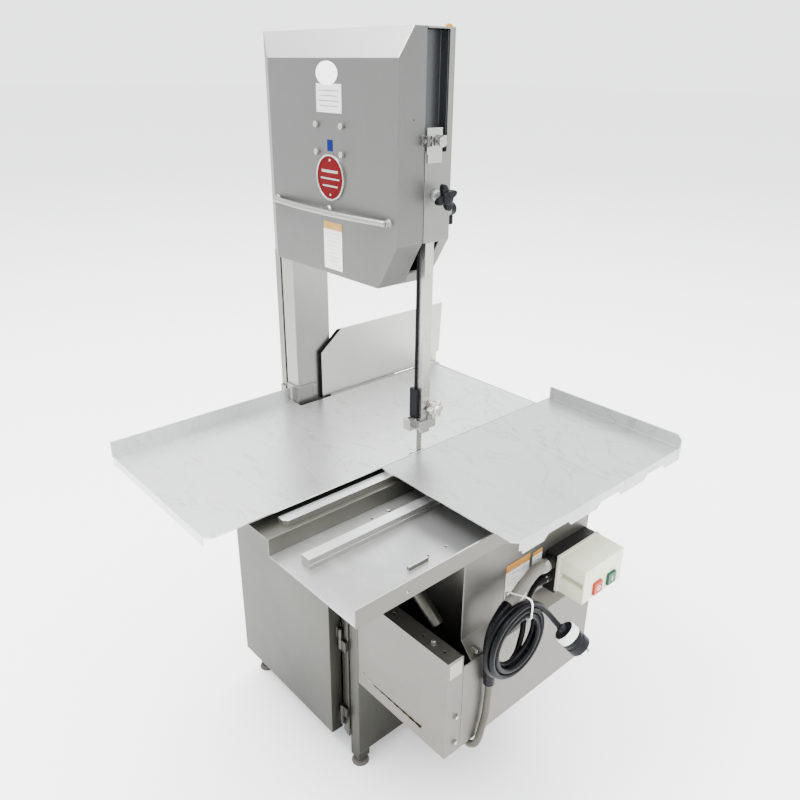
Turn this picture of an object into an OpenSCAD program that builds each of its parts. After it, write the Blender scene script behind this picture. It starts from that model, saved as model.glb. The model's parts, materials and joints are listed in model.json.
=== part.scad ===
// Meat band saw (bone saw) with a moving carriage.
// Working frame: X runs across the table from the column to the carriage, Y is the feed
// direction with the operator on the +Y side, Z is up. The working zero is the back edge of
// the blade at the table top; place() moves it so that the origin is under the middle of the
// machine, on the floor.

/* [Machine] */
// Height of the table top above the floor
table_h = 815; // [760:5:900]
// Radius of both blade wheels
wheel_r = 203; // [195:1:205]
// Height of the upper wheel's centre above the table
upper_wheel_z = 604; // [598:1:610]
// Distance between the two wheel centres
wheel_centres = 1165; // [1140:5:1170]
// Width of the blade
blade_w = 16; // [12:1:19]

/* [Tables] */
// Left edge of the fixed table, from the blade
table_x0 = -406; // [-420:1:-400]
// Front end of the fixed table
table_y0 = -509; // [-560:1:-460]
// Operator's end of the fixed table
table_y1 = 397; // [360:1:400]
// Height of the upturned flange on the left edge
table_flange_h = 33; // [20:1:50]
// Outer edge of the carriage
carriage_x1 = 370; // [340:1:390]
// Front edge of the carriage
carriage_y0 = -105; // [-120:1:-90]
// Operator's end of the carriage
carriage_y1 = 460; // [430:1:480]
// Height of the pusher fence on the carriage
fence_h = 29; // [20:1:32]

/* [Head] */
// Height of the head's top above the table
head_top = 831; // [830:1:860]
// Right side of the head, from the blade
head_x1 = 25; // [25:1:30]
// Height of the head's underside above the table
head_bottom = 372; // [370:1:374]
// Cutting height under the head's right side
throat_z = 462; // [460:1:470]

/* [Guide] */
// Height of the lowest point of the blade guide above the table
guide_z = 47; // [40:1:60]
// Top end of the guide bar
guide_top = 565; // [560:1:570]

/* [Cord] */
// Diameter of the power cord
cord_d = 12; // [10:1:14]
// Middle of the coil's cord bundle, from the coil's centre
coil_r = 70; // [65:1:80]

/* [Hidden] */
$fn = 48;
e = 0.5;                          // overshoot of a cutter
gap = 0.3;                        // clearance between moving neighbours
mid_x = -40.5;                    // middle of the machine across
mid_y = -24.5;                    // middle of the machine along the feed

blade_t = 0.8;
wheel_x = -(wheel_r + gap + blade_t / 2);
blade_r = wheel_r + gap;          // inner radius of the blade over the wheels
left_run_x = 2 * wheel_x;
lower_wheel_z = upper_wheel_z - wheel_centres;
rim_y = [-10, 12];
hub_r = 38;
axle_r = 12.5;
bearing_r = 26;

left_x = -448;                    // left side of cabinet, column and head
cabinet_x1 = 12;
cabinet_y = [-178, 290];
cabinet_z0 = -770;
deck_z = -24;                     // top of the deck that carries the table
tray_z = -60;                     // top of the lower tray
tray_x1 = 300;
tray_y = [-408, 300];
sheet = 2;
floor_z = -table_h;

door_front = -84;                 // front face of the head door
door_shoulder = -48;              // where its slopes start
door_rear = -19;
housing_front = -17;
housing_rear = 50;
bulk_y = [40, 46];

// ---- shared shapes ------------------------------------------------------------------------

module place() translate([-mid_x, -mid_y, table_h]) children();

// A box given by its ranges along X, Y and Z
module block(x, y, z) translate([x[0], y[0], z[0]])
    cube([x[1] - x[0], y[1] - y[0], z[1] - z[0]]);

module rod_x(x, y, z, r) translate([x[0], y, z]) rotate([0, 90, 0]) cylinder(r = r, h = x[1] - x[0]);
module rod_y(x, y, z, r) translate([x, y[0], z]) rotate([-90, 0, 0]) cylinder(r = r, h = y[1] - y[0]);
module rod_z(x, y, z, r) translate([x, y, z[0]]) cylinder(r = r, h = z[1] - z[0]);

// A flat outline in XZ, given depth along Y
module slab_y(points, y) translate([0, y[1], 0]) rotate([90, 0, 0])
    linear_extrude(y[1] - y[0]) polygon(points);
// A flat outline in YZ, given length along X
module slab_x(points, x) translate([x[0], 0, 0]) rotate([90, 0, 90])
    linear_extrude(x[1] - x[0]) polygon(points);
// A flat outline in XY, given height along Z
module slab_z(points, z) translate([0, 0, z[0]]) linear_extrude(z[1] - z[0]) polygon(points);

// A turned part about an axis along Y, from a radius and length outline
module turned_y(x, z, points) translate([x, 0, z]) rotate([-90, 0, 0])
    rotate_extrude($fn = 96) polygon(points);

// A knob with four arms about an axis along X
module arm_knob(x, y, z, arm_r, core_r) {
    rod_x(x, y, z, core_r);
    for (a = [0, 90]) translate([x[0], y, z]) rotate([a, 0, 0])
        translate([0, -arm_r, -core_r * 0.45]) cube([(x[1] - x[0]) * 0.6, 2 * arm_r, core_r * 0.9]);
}

// A tube swept along a list of points, with the same ring at each
function unit(v) = v / norm(v);
function tangent(p, i) = unit(p[min(i + 1, len(p) - 1)] - p[max(i - 1, 0)]);
module tube(path, r, sides, up) {
    rings = [for (i = [0 : len(path) - 1])
        let (t = tangent(path, i), u = unit(cross(t, up)), v = cross(u, t))
        [for (k = [0 : sides - 1]) let (a = 360 * k / sides) path[i] + r * (cos(a) * u + sin(a) * v)]];
    points = [for (ring = rings) for (q = ring) q];
    n = len(path);
    sides_faces = [for (i = [0 : n - 2]) for (k = [0 : sides - 1])
        let (a = i * sides + k, b = i * sides + (k + 1) % sides) [a, b, b + sides, a + sides]];
    cap0 = [[for (k = [sides - 1 : -1 : 0]) k]];
    cap1 = [[for (k = [0 : sides - 1]) (n - 1) * sides + k]];
    polyhedron(points, concat(sides_faces, cap0, cap1), convexity = 6);
}

// ---- stand --------------------------------------------------------------------------------

leg_x = [-446, -22];
leg_y = [-178, 256];
leg_w = 32;

module legs() color("#8f8f8b") place()
    for (x = leg_x) for (y = leg_y) difference() {
        block([x, x + leg_w], [y, y + leg_w], [floor_z + 22, deck_z - sheet]);
        rod_z(x + leg_w / 2, y + leg_w / 2, [floor_z + 22 - e, floor_z + 60], 5.05);
    }

module leveling_feet() color("#3d3c39") place()
    for (x = leg_x) for (y = leg_y) translate([x + leg_w / 2, y + leg_w / 2, floor_z]) {
        cylinder(r1 = 22, r2 = 18, h = 10);
        cylinder(r = 9, h = 22);
        cylinder(r = 5, h = 50);
    }

belt_z = [-548, -390];            // slot in the cabinet wall for the belt
motor_x = 150;
motor_z = -405;
pulley_y = [58, 80];

module cabinet() color("#a4a39e") place() {
    block([left_x, left_x + sheet], cabinet_y, [cabinet_z0, deck_z - sheet]);
    block([left_x + sheet, cabinet_x1 - sheet], [cabinet_y[1] - sheet, cabinet_y[1]],
        [cabinet_z0, deck_z - sheet]);
    block([left_x + sheet, cabinet_x1 - sheet], [cabinet_y[0] + leg_w, cabinet_y[1] - sheet - leg_w],
        [cabinet_z0, cabinet_z0 + sheet]);
    difference() {
        block([cabinet_x1 - sheet, cabinet_x1], cabinet_y, [cabinet_z0, deck_z - sheet]);
        block([cabinet_x1 - 5, cabinet_x1 + e], [50, 90], belt_z);
        drain_bore();
    }
    difference() {
        drain(14);
        drain_bore();
        block([-60, cabinet_x1 - sheet], [-140, -80], [-240, -60]);
    }
}

// Sloping spout that empties the wheel compartment
module drain(r) translate([4, -110, -152]) rotate([0, 90 + 36, 0]) cylinder(r = r, h = 236);
module drain_bore()
    translate([-20, -110, -152 + 24 * tan(36)]) rotate([0, 126, 0]) cylinder(r = 12, h = 300);

module bulkhead() color("#9a9a96") place() difference() {
    block([left_x + sheet, cabinet_x1 - sheet], bulk_y, [cabinet_z0 + sheet, deck_z - sheet]);
    rod_y(wheel_x, [bulk_y[0] - e, bulk_y[1] + e], lower_wheel_z, 34);
}

lower_door_x = [left_x, -52];
lower_door_y = [-212, -180];
lower_door_z = [-728, -72];
lower_hinge = [-42, -188];
hinge_r = 5;
pin_r = 2.5;
door_knuckles = [[-440, -412], [-700, -672]];
frame_knuckles = [[-468, -440.4], [-671.6, -644]];

module lower_door() color("#93938c") place() {
    difference() {
        block(lower_door_x, lower_door_y, lower_door_z);
        block([lower_door_x[0] + 1.6, lower_door_x[1] - 1.6], [lower_door_y[0] + 1.6, lower_door_y[1] + e],
            [lower_door_z[0] + 1.6, lower_door_z[1] - 1.6]);
    }
    for (z = door_knuckles) difference() {
        union() {
            rod_z(lower_hinge[0], lower_hinge[1], z, hinge_r);
            block([lower_door_x[1], lower_hinge[0]], [lower_hinge[1] - 2, lower_hinge[1] + 2], z);
        }
        rod_z(lower_hinge[0], lower_hinge[1], [z[0] - e, z[1] + e], pin_r + 0.05);
    }
}

// Hinge leaf on the leg, its knuckles and the two pins
module lower_door_hinge() color("#7a7a75") place() {
    for (z = frame_knuckles) {
        rod_z(lower_hinge[0], lower_hinge[1], z, hinge_r);
        block([lower_hinge[0], -22], [lower_hinge[1] - 2, lower_hinge[1] + 2], z);
        block([-26, -22], [lower_hinge[1] + 2, -172], z);
    }
    rod_z(lower_hinge[0], lower_hinge[1], [frame_knuckles[0][0] + 5, door_knuckles[0][1] + 2], pin_r);
    rod_z(lower_hinge[0], lower_hinge[1], [door_knuckles[1][0] - 2, frame_knuckles[1][1] - 5], pin_r);
}

// ---- decks, rails and tables --------------------------------------------------------------

step_x = [42, 44];
spacers = [[-380, -380], [-380, -200], [-340, 120], [-340, 270], [-60, -380], [-60, -200],
    [-60, 120], [-60, 270]];

module upper_deck() color("#a8a79f") place() {
    difference() {
        block([left_x, step_x[1]], [tray_y[0], tray_y[1]], [deck_z - sheet, deck_z]);
        block([left_run_x - 8, left_run_x + 8], [-8, 26], [deck_z - 5, deck_z + e]);
        block([-8, 8], [-12, 28], [deck_z - 5, deck_z + e]);
    }
    block(step_x, tray_y, [tray_z - sheet, deck_z - sheet]);
    block([-412, -18], [tray_y[1], 380], [deck_z - sheet, deck_z]);
    for (s = spacers)
        block([s[0] - 12, s[0] + 12], [s[1] - 12, s[1] + 12], [deck_z, -3]);
}

// Lower tray with its outer lip, its stop tab and the fixing screws
module tray() color("#d9d9d4") place() {
    difference() {
        block([step_x[1], tray_x1], tray_y, [tray_z - sheet, tray_z]);
        for (h = [[71, -185], [234, -185], [235, -140]])
            rod_z(h[0], h[1], [tray_z - sheet - e, tray_z + e], 3);
    }
    difference() {
        block([tray_x1 - 3, tray_x1], tray_y, [tray_z, -24]);
        rod_x([tray_x1 - 4, tray_x1 + e], -296, -46, 3);
    }
    block([240, 247], [-244, -196], [tray_z, tray_z + 9]);
    for (y = [-142, 60]) rod_z(71, y, [tray_z, tray_z + 4], 6);
}

inner_rail_x = [8, 32];
middle_rail_x = [103, 127];
rail_y = [-376, 296];

// Slide rail beside the table and roller rail on the tray
module carriage_rails() color("#e2e2de") place() {
    difference() {
        block(inner_rail_x, [-362, rail_y[1]], [deck_z, deck_z + 12]);
        translate([inner_rail_x[1], -362, deck_z - e]) rotate([0, 0, 45])
            translate([-6, -6, 0]) cube([12, 12, 14]);
    }
    difference() {
        block(middle_rail_x, rail_y, [tray_z, tray_z + 22]);
        block([middle_rail_x[1] - 2, middle_rail_x[1] + e], [rail_y[0] - e, rail_y[1] + e],
            [tray_z + 9, tray_z + 13]);
    }
}

column_y = [-48, 50];
table_t = 3;
notch_x = -359;                   // table edge beside the gauge plate

module stationary_table() color("#e9e9e6") place() {
    difference() {
        union() {
            block([table_x0, 5], [table_y0, column_y[0] - 6], [-table_t, 0]);
            block([notch_x, 5], [column_y[0] - 6, table_y1], [-table_t, 0]);
        }
        translate([5, table_y0, -5]) rotate([0, 0, 45]) translate([-9, -9, 0]) cube([18, 18, 6]);
        block([-16, 5 + e], [-24, 60], [-table_t - e, e]);
    }
    block([table_x0, table_x0 + sheet], [table_y0, column_y[0] - 6], [0, table_flange_h]);
    block([table_x0 + 4, 5 - 16], [table_y0, table_y0 + sheet], [-20, -table_t]);
    block([notch_x, 5 - 4], [table_y1 - sheet, table_y1], [-20, -table_t]);
}

module table_insert() color("#dcdcd8") place() difference() {
    block([-16, 5], [-24, 60], [-table_t, 0]);
    block([-2, 2], [-24 - e, 22], [-table_t - e, e]);
    block([-16 - e, -2], [-8, 2], [-1.5, e]);
}

// ---- column -------------------------------------------------------------------------------

column_x = [-421, -376];

module column() color("#a9a9a5") place() {
    difference() {
        block(column_x, column_y, [deck_z, head_bottom]);
        block([column_x[0] + 3, column_x[1] - 3], [column_y[0] + 3, column_y[1] - 3],
            [deck_z - e, head_bottom + e]);
    }
    block([column_x[0] + 3, column_x[1] - 3], [column_y[1] - 11, column_y[1] - 3],
        [head_bottom + 3, head_bottom + 130]);
}

module column_cover() color("#9d9d98") place() {
    block([left_x, left_x + 20], [column_y[0], column_y[0] + 2], [deck_z, head_bottom]);
    block([left_x, left_x + 2], [column_y[0] + 2, column_y[1] - 2], [deck_z, head_bottom]);
    block([left_x, column_x[0]], [column_y[1] - 2, column_y[1]], [deck_z, head_bottom]);
}

// Collar at the foot and the black stop for the gauge plate
module column_foot() color("#b4b4af") place() {
    block([column_x[0], column_x[1] + 3], [column_y[0] - 3, column_y[0]], [deck_z, 43]);
    block([column_x[1], column_x[1] + 3], [column_y[0], 4], [deck_z, 43]);
    block([left_x, left_x + 22], [column_y[0] - 4, column_y[0]], [deck_z, 30]);
    block([column_x[1] + 3, column_x[1] + 4.5], [-7, 4], [10, 37]);
}

// ---- head ---------------------------------------------------------------------------------

head_x0 = -445;
cut_x = -29;                      // where the underside starts to rise to the right

function head_outline(t) = [[head_x0 + t, head_bottom + t], [cut_x - t * 0.45, head_bottom + t],
    [head_x1 - t, throat_z + t * 0.55], [head_x1 - t, head_top - t], [head_x0 + t, head_top - t]];

lever = [10, 515];                // X and Z of the axis of the guide bar's rear lever
hinge = [head_x0, -18];
hinge_knuckle_r = 4;
door_hinges = [[700, 740], [420, 460]];
housing_hinges = [[659.6, 699.6], [379.6, 419.6]];

module head_housing() color("#aeaeaa") place() {
    difference() {
        slab_y(head_outline(0), [housing_front, housing_rear]);
        slab_y(head_outline(3), [housing_front - e, housing_rear - 3]);
        // side slot for the guide bar's clamp
        block([head_x1 - 4, head_x1 + e], [housing_front - e, 37], [624, head_top - 3]);
        // blade and guide openings in the underside
        block([-16, 23.5], [-20, 26], [380, 470]);
        block([left_run_x - 10, left_run_x + 10], [-10, 28], [head_bottom - e, head_bottom + 4]);
        // hinge notches
        for (z = door_hinges) rod_z(hinge[0], hinge[1], [z[0] - gap, z[1] + gap], hinge_knuckle_r + 0.4);
        rod_x([head_x1 - 4, head_x1 + e], 8, 547, 6.1);
        rod_y(lever[0], [housing_rear - 4, housing_rear + e], lever[1], 8.1);
    }
    for (k = [0, 1]) {
        rod_z(hinge[0], hinge[1], housing_hinges[k], hinge_knuckle_r);
        rod_z(hinge[0], hinge[1], [housing_hinges[k][1], door_hinges[k][1] + 4], 2);
    }
    // boss of the rear lever
    difference() {
        rod_y(lever[0], [housing_rear, housing_rear + 8], lever[1], 14);
        rod_y(lever[0], [housing_rear - e, housing_rear + 9], lever[1], 8.05);
    }
    // ways for the tension block
    for (x = [wheel_x - 48, wheel_x + 40 + gap])
        block([x, x + 8 - gap], [18, housing_rear - 3], [500, 720]);
}

door_bottom = head_bottom + 0.5;
// Outer or inner form of the door, t smaller all round
module door_form(t, rear) intersection() {
    slab_y([[head_x0 + t, door_bottom], [cut_x - t * 0.45, door_bottom], [head_x1 - t, throat_z + t * 0.55],
        [head_x1 - t, head_top - t], [head_x0 + t, head_top - t]], [door_front + t, rear]);
    slab_x([[door_front + t, head_bottom - 5], [rear, head_bottom - 5], [rear, head_top - t],
        [door_shoulder + t * 0.4, head_top - t], [door_front + t, 780 - t * 0.4]], [head_x0, head_x1]);
    slab_z([[head_x0 + t, rear], [head_x0 + t, door_shoulder + t * 0.4], [-378 + t * 0.2, door_front + t],
        [head_x1, door_front + t], [head_x1, rear]], [head_bottom - 5, head_top + 5]);
}

latch_zc = 645;
module head_door() color("#a2a29e") place() {
    difference() {
        door_form(0, door_rear);
        door_form(2.5, door_rear + e);
        for (z = door_hinges) rod_z(hinge[0], hinge[1], [z[0] - 1, z[1] + 5], 2.05);
        for (z = housing_hinges) rod_z(hinge[0], hinge[1], [z[0] - gap, z[1] + gap], hinge_knuckle_r + 0.4);
    }
    // underside, open where the blade leaves
    difference() {
        intersection() {
            door_form(0, door_rear);
            slab_y([[head_x0, door_bottom], [cut_x, door_bottom], [head_x1, throat_z],
                [head_x1, throat_z + 4.5], [cut_x - 1, door_bottom + 2.5], [head_x0, door_bottom + 2.5]],
                [door_front, door_rear]);
        }
        block([-16, 16], [-40, door_rear + e], [370, 470]);
        for (z = housing_hinges) rod_z(hinge[0], hinge[1], [z[0] - gap, z[1] + gap], hinge_knuckle_r + 0.4);
    }
    for (z = door_hinges) difference() {
        union() {
            rod_z(hinge[0], hinge[1], z, hinge_knuckle_r);
            block([hinge[0], hinge[0] + 2.5], [hinge[1] - 6, hinge[1]], z);
        }
        rod_z(hinge[0], hinge[1], [z[0] - e, z[1] + 5], 2.05);
    }
    // keeper of the latch
    difference() {
        block([head_x1, head_x1 + 15], [-25, -20], [latch_zc - 9, latch_zc + 9]);
        rod_y(head_x1 + 7, [-26, -19], latch_zc, 4.6);
    }
}

handle_x = [-372, 8];
handle_z = 502;
module door_handle() color("#c4c4c1") place() {
    // a bow that stands furthest off the door in the middle
    bow_r = 1400;
    mid = (handle_x[0] + handle_x[1]) / 2;
    intersection() {
        translate([mid, door_front - 26 + bow_r, handle_z - 7]) difference() {
            cylinder(r = bow_r, h = 14, $fn = 360);
            translate([0, 0, -e]) cylinder(r = bow_r - 6, h = 14 + 2 * e, $fn = 360);
        }
        block([handle_x[0], handle_x[1]], [door_front - 30, door_front - 2], [handle_z - 8, handle_z + 8]);
    }
    rod_y(mid, [door_front - 21, door_front], handle_z, 10);
    for (x = [handle_x[0] + 6, handle_x[1] - 6]) rod_y(x, [door_front - 9, door_front], handle_z, 6);
}

bolt_x = [-212, -132];
bolt_z = [663, 612];
module door_bolts() color("#dededb") place()
    for (x = bolt_x) for (z = bolt_z) {
        rod_y(x, [door_front - 1.5, door_front], z, 8);
        translate([x, door_front - 1.5, z]) rotate([90, 0, 0]) cylinder(r = 6.5, h = 6, $fn = 6);
    }

badge = [-171, 566];
module door_badge() color("#a8182c") place() {
    rod_y(badge[0], [door_front - 4, door_front], badge[1], 44);
    translate([badge[0], door_front - 4, badge[1]]) rotate([90, 0, 0])
        rotate_extrude($fn = 96) translate([41, 0]) circle(r = 2.5, $fn = 24);
}

// Blank rating plate, blue sticker and pale notice
module door_labels() color("#e8e8e8") place() {
    block([-212, -133], [door_front - 1, door_front], [685, 736]);
    block([-181, -164], [door_front - 1, door_front], [615.5, 636]);
    block([-200, -140], [door_front - 1, door_front], [384, 478]);
}

module latch_base() color("#e6e6e3") place() {
    block([head_x1, head_x1 + 3], [-16, -13], [622, 667]);
    block([head_x1, head_x1 + 3], [-13, 22], [606, 667]);
    for (y = [-14, 14]) difference() {
        block([head_x1 + 3, head_x1 + 14], [y, y + 8], [latch_zc - 9, latch_zc + 9]);
        rod_y(head_x1 + 7, [y - e, y + 8 + e], latch_zc, 4.05);
    }
}

module latch_bolt() color("#f0f0ee") place() {
    rod_y(head_x1 + 7, [-27, 24], latch_zc, 4);
    rod_x([head_x1 + 7, head_x1 + 24], -2, latch_zc, 3.2);
    rod_x([head_x1 + 18, head_x1 + 30], -2, latch_zc, 9);
}

eye = [-8, head_top - 5];         // X and Z of the lifting eye's shank
module lifting_eye() color("#d8862a") place() {
    rod_y(eye[0], [housing_rear, housing_rear + 7], eye[1], 5);
    translate([eye[0], housing_rear + 15, eye[1]]) rotate([0, 90, 0]) rotate_extrude($fn = 48)
        translate([10, 0]) circle(r = 3, $fn = 20);
}

module bar_clamp_lever() color("#4a4a46") place() {
    rod_y(lever[0], [38, housing_rear + 12], lever[1], 8);
    rod_y(lever[0], [housing_rear + 8 + gap, housing_rear + 22], lever[1], 13);
    block([lever[0] - 5, lever[0] + 5], [housing_rear + 10, housing_rear + 20],
        [lever[1] - 20, lever[1] - 3]);
    rod_z(lever[0], housing_rear + 15, [lever[1] - 29, lever[1] - 14], 7.5);
}

// ---- wheels and blade ---------------------------------------------------------------------

// A spoked wheel with a bored hub
module spoked_wheel(z, bore) difference() {
    turned_y(wheel_x, z, [[bore, -14], [hub_r, -14], [hub_r, -3], [wheel_r - 16, -3],
        [wheel_r - 16, rim_y[0]], [wheel_r, rim_y[0]], [wheel_r, rim_y[1]], [wheel_r - 16, rim_y[1]],
        [wheel_r - 16, 5], [hub_r, 5], [hub_r, 15], [bore, 15]]);
    for (a = [0 : 60 : 300]) translate([wheel_x, -4, z]) rotate([0, a, 0]) translate([112, 0, 0])
        rotate([-90, 0, 0]) cylinder(r = 42, h = 12);
}

module upper_wheel() color("#b9b9b5") place() spoked_wheel(upper_wheel_z, bearing_r);

module upper_bearings() color("#d0d0ce") place()
    for (y = [-12, 2]) difference() {
        rod_y(wheel_x, [y, y + 11], upper_wheel_z, bearing_r);
        rod_y(wheel_x, [y - e, y + 11 + e], upper_wheel_z, axle_r + 0.05);
    }

module upper_axle() color("#8c8c88") place() {
    rod_y(wheel_x, [-20, 44], upper_wheel_z, axle_r);
    rod_y(wheel_x, [-24, -20], upper_wheel_z, 18);
}

module tension_block() color("#77756f") place() difference() {
    block([wheel_x - 40, wheel_x + 40], [18, 44], [upper_wheel_z - 45, upper_wheel_z + 45]);
    rod_y(wheel_x, [17, 45], upper_wheel_z, axle_r);
}

// Spring below the tension block, with its seat on the housing
module tension_spring() color("#5d5b57") place() {
    block([wheel_x - 30, wheel_x + 30], [20, housing_rear - 3], [380, 392]);
    rod_z(wheel_x, 32, [392, 535], 6);
    difference() {
        rod_z(wheel_x, 32, [392, upper_wheel_z - 54], 12);
        rod_z(wheel_x, 32, [391, upper_wheel_z - 53], 6);
        for (k = [0 : 9]) translate([wheel_x, 32, 400 + 14 * k]) rotate([8, 0, 0]) difference() {
            cylinder(r = 14, h = 5, center = true);
            cylinder(r = 9.5, h = 6, center = true);
        }
    }
}

module lower_wheel() color("#b9b9b5") place() spoked_wheel(lower_wheel_z, axle_r);

module lower_shaft() color("#8c8c88") place() {
    rod_y(wheel_x, [-20, 96], lower_wheel_z, axle_r);
    rod_y(wheel_x, [-24, -20], lower_wheel_z, 18);
}

module lower_bearing() color("#6f6e69") place() difference() {
    union() {
        rod_y(wheel_x, [20, 52], lower_wheel_z, 34);
        rod_y(wheel_x, [bulk_y[1], 52], lower_wheel_z, 50);
    }
    rod_y(wheel_x, [19, 53], lower_wheel_z, axle_r + 0.05);
}

drive_r = 74;
motor_pulley_r = 39;
groove = 4;

module grooved_pulley(x, z, r, bore) turned_y(x, z, [[bore, pulley_y[0]], [r, pulley_y[0]],
    [r, pulley_y[0] + 3], [r - groove, pulley_y[0] + 6], [r - groove, pulley_y[1] - 6],
    [r, pulley_y[1] - 3], [r, pulley_y[1]], [bore, pulley_y[1]]]);

module drive_pulley() color("#4f4e4a") place()
    grooved_pulley(wheel_x, lower_wheel_z, drive_r, axle_r);

module blade() color("#cfcfcd") place() {
    for (x = [0, left_run_x]) block([x - blade_t / 2, x + blade_t / 2], [0, blade_w],
        [lower_wheel_z, upper_wheel_z]);
    for (s = [[upper_wheel_z, 0], [lower_wheel_z, 180]]) intersection() {
        turned_y(wheel_x, s[0], [[blade_r, 0], [blade_r + blade_t, 0], [blade_r + blade_t, blade_w],
            [blade_r, blade_w]]);
        translate([wheel_x, 0, s[0]]) rotate([0, s[1], 0])
            block([-wheel_r - 5, wheel_r + 5], [-1, blade_w + 1], [0, wheel_r + 5]);
    }
}

// ---- drive --------------------------------------------------------------------------------

motor_r = 88;
module motor() color("#4b4f52") place() {
    difference() {
        union() {
            rod_y(motor_x, [100, 275], motor_z, motor_r);
            for (a = [0 : 30 : 330]) translate([motor_x, 115, motor_z]) rotate([0, a, 0])
                translate([motor_r - 2, 0, -2]) cube([7, 130, 4]);
        }
        rod_y(motor_x, [99, 200], motor_z, axle_r + 0.05);
    }
    block([motor_x - 70, motor_x + 70], [120, 255], [-538, motor_z - 60]);
}

module motor_pulley() color("#55544f") place() {
    rod_y(motor_x, [pulley_y[0] - 4, 195], motor_z, axle_r);
    grooved_pulley(motor_x, motor_z, motor_pulley_r, axle_r);
}

// Outline of a belt around both pulleys, grown by d
module belt_outline(d) hull() {
    translate([wheel_x, -lower_wheel_z]) circle(r = drive_r - groove + d, $fn = 90);
    translate([motor_x, -motor_z]) circle(r = motor_pulley_r - groove + d, $fn = 90);
}

module drive_belt() color("#1d1d1d") place()
    translate([0, pulley_y[0] + 7, 0]) rotate([-90, 0, 0]) linear_extrude(pulley_y[1] - pulley_y[0] - 14)
        difference() {
            belt_outline(gap + 9);
            belt_outline(gap);
        }

// ---- upper blade guide --------------------------------------------------------------------

bar_x = [4, 20];
bar_y = [-6, 16];
bracket_z = [530, 590];
lock = [8, 547];                  // Y and Z of the lock knob's axis

module guide_bracket() color("#7d7c76") place() {
    block([2, 20 + gap], [bar_y[1] + gap, 47], bracket_z);
    block([5, 20 + gap], [bar_y[0] - 8, bar_y[0] - gap], bracket_z);
    difference() {
        block([20 + gap, 22], [bar_y[0] - 8, 47], bracket_z);
        rod_x([20, 23], lock[0], lock[1], 7);
    }
}

module guide_lock_knob() color("#232323") place() {
    rod_x([20 + gap, 40], lock[0], lock[1], 6);
    rod_x([head_x1 + gap, head_x1 + 7], lock[0], lock[1], 11);
    rod_x([40, 52], lock[0], lock[1], 9);
    arm_knob([50, 66], lock[0], lock[1], 26, 12);
}

module guide_bar() color("#c9c9c6") place()
    block(bar_x, bar_y, [82, guide_top]);

module guide_strip() color("#1b1b1b") place() {
    block([1, bar_x[0]], [-11, -2], [152, 440]);
    block([-9, 13], [-14, -6], [86, 152]);
}

module guide_clamp() color("#cfcfcc") place() {
    // side plate under the bar, with the fork for the roller and the jaw round the blade
    block([bar_x[0], 26], [-14, 30], [62, 82]);
    block([1.2, 14], [3, 24], [guide_z, 62]);
    block([-9, -1.2], [3, 24], [guide_z, 62]);
    block([-9, 14], [18, 24], [62, 66]);
    block([-12, bar_x[0]], [-28, -22], [60, 84]);
    block([-12, -8], [-22, -2], [60, 84]);
    block([bar_x[0], 8], [-28, -14], [60, 84]);
    block([-9, bar_x[0]], [18, 24], [62, 82]);
    rod_x([-8, bar_x[0]], -10.6, 72, 3);
    rod_x([20, 34], 22, 106, 5);
    block([20, 24], [10, 34], [82, 120]);
}

module guide_roller() color("#3a3a38") place() difference() {
    rod_x([-6, 3], -10.6, 72, 10.2);
    rod_x([-7, 4], -10.6, 72, 3.05);
}

module guide_knob() color("#e3e3df") place() difference() {
    union() {
        rod_x([25, 44], 22, 106, 14);
        for (a = [0 : 60 : 300]) translate([25, 22, 106]) rotate([a, 0, 0]) translate([0, 14, 0])
            rotate([0, 90, 0]) cylinder(r = 5, h = 14);
    }
    rod_x([24, 35], 22, 106, 5.05);
    block([40, 45], [10, 34], [104, 108]);
}

// ---- gauge plate --------------------------------------------------------------------------

gauge_rail_c = [412, -14];
module gauge_rail() color("#b5b5b1") place() {
    rod_x([-410, 0], gauge_rail_c[0], gauge_rail_c[1], 9);
    block([-6, 0], [table_y1, gauge_rail_c[0] - 5], [-20, -5]);
    block([-410, -402], [368, gauge_rail_c[0] - 5], [deck_z, -6]);
}

module gauge_plate() color("#d2d2cf") place() {
    slab_x([[12, 1], [400, 1], [400, 26], [428, 26], [436, 168], [70, 168], [12, 121]], [-372, -369]);
    // bracket and sleeve on the rail
    difference() {
        union() {
            block([-388, -371], [404, 420], [-3, 40]);
            rod_x([-396, -360], gauge_rail_c[0], gauge_rail_c[1], 14);
        }
        rod_x([-397, -359], gauge_rail_c[0], gauge_rail_c[1], 9.06);
    }
    block([-388, -371], [222, 236], [2, 14]);
}

// ---- carriage -----------------------------------------------------------------------------

carriage_x0 = 6.8;
roller_r = 11;
roller_z = tray_z + 22 + gap + roller_r;
roller_y = [90, 280];

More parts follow.
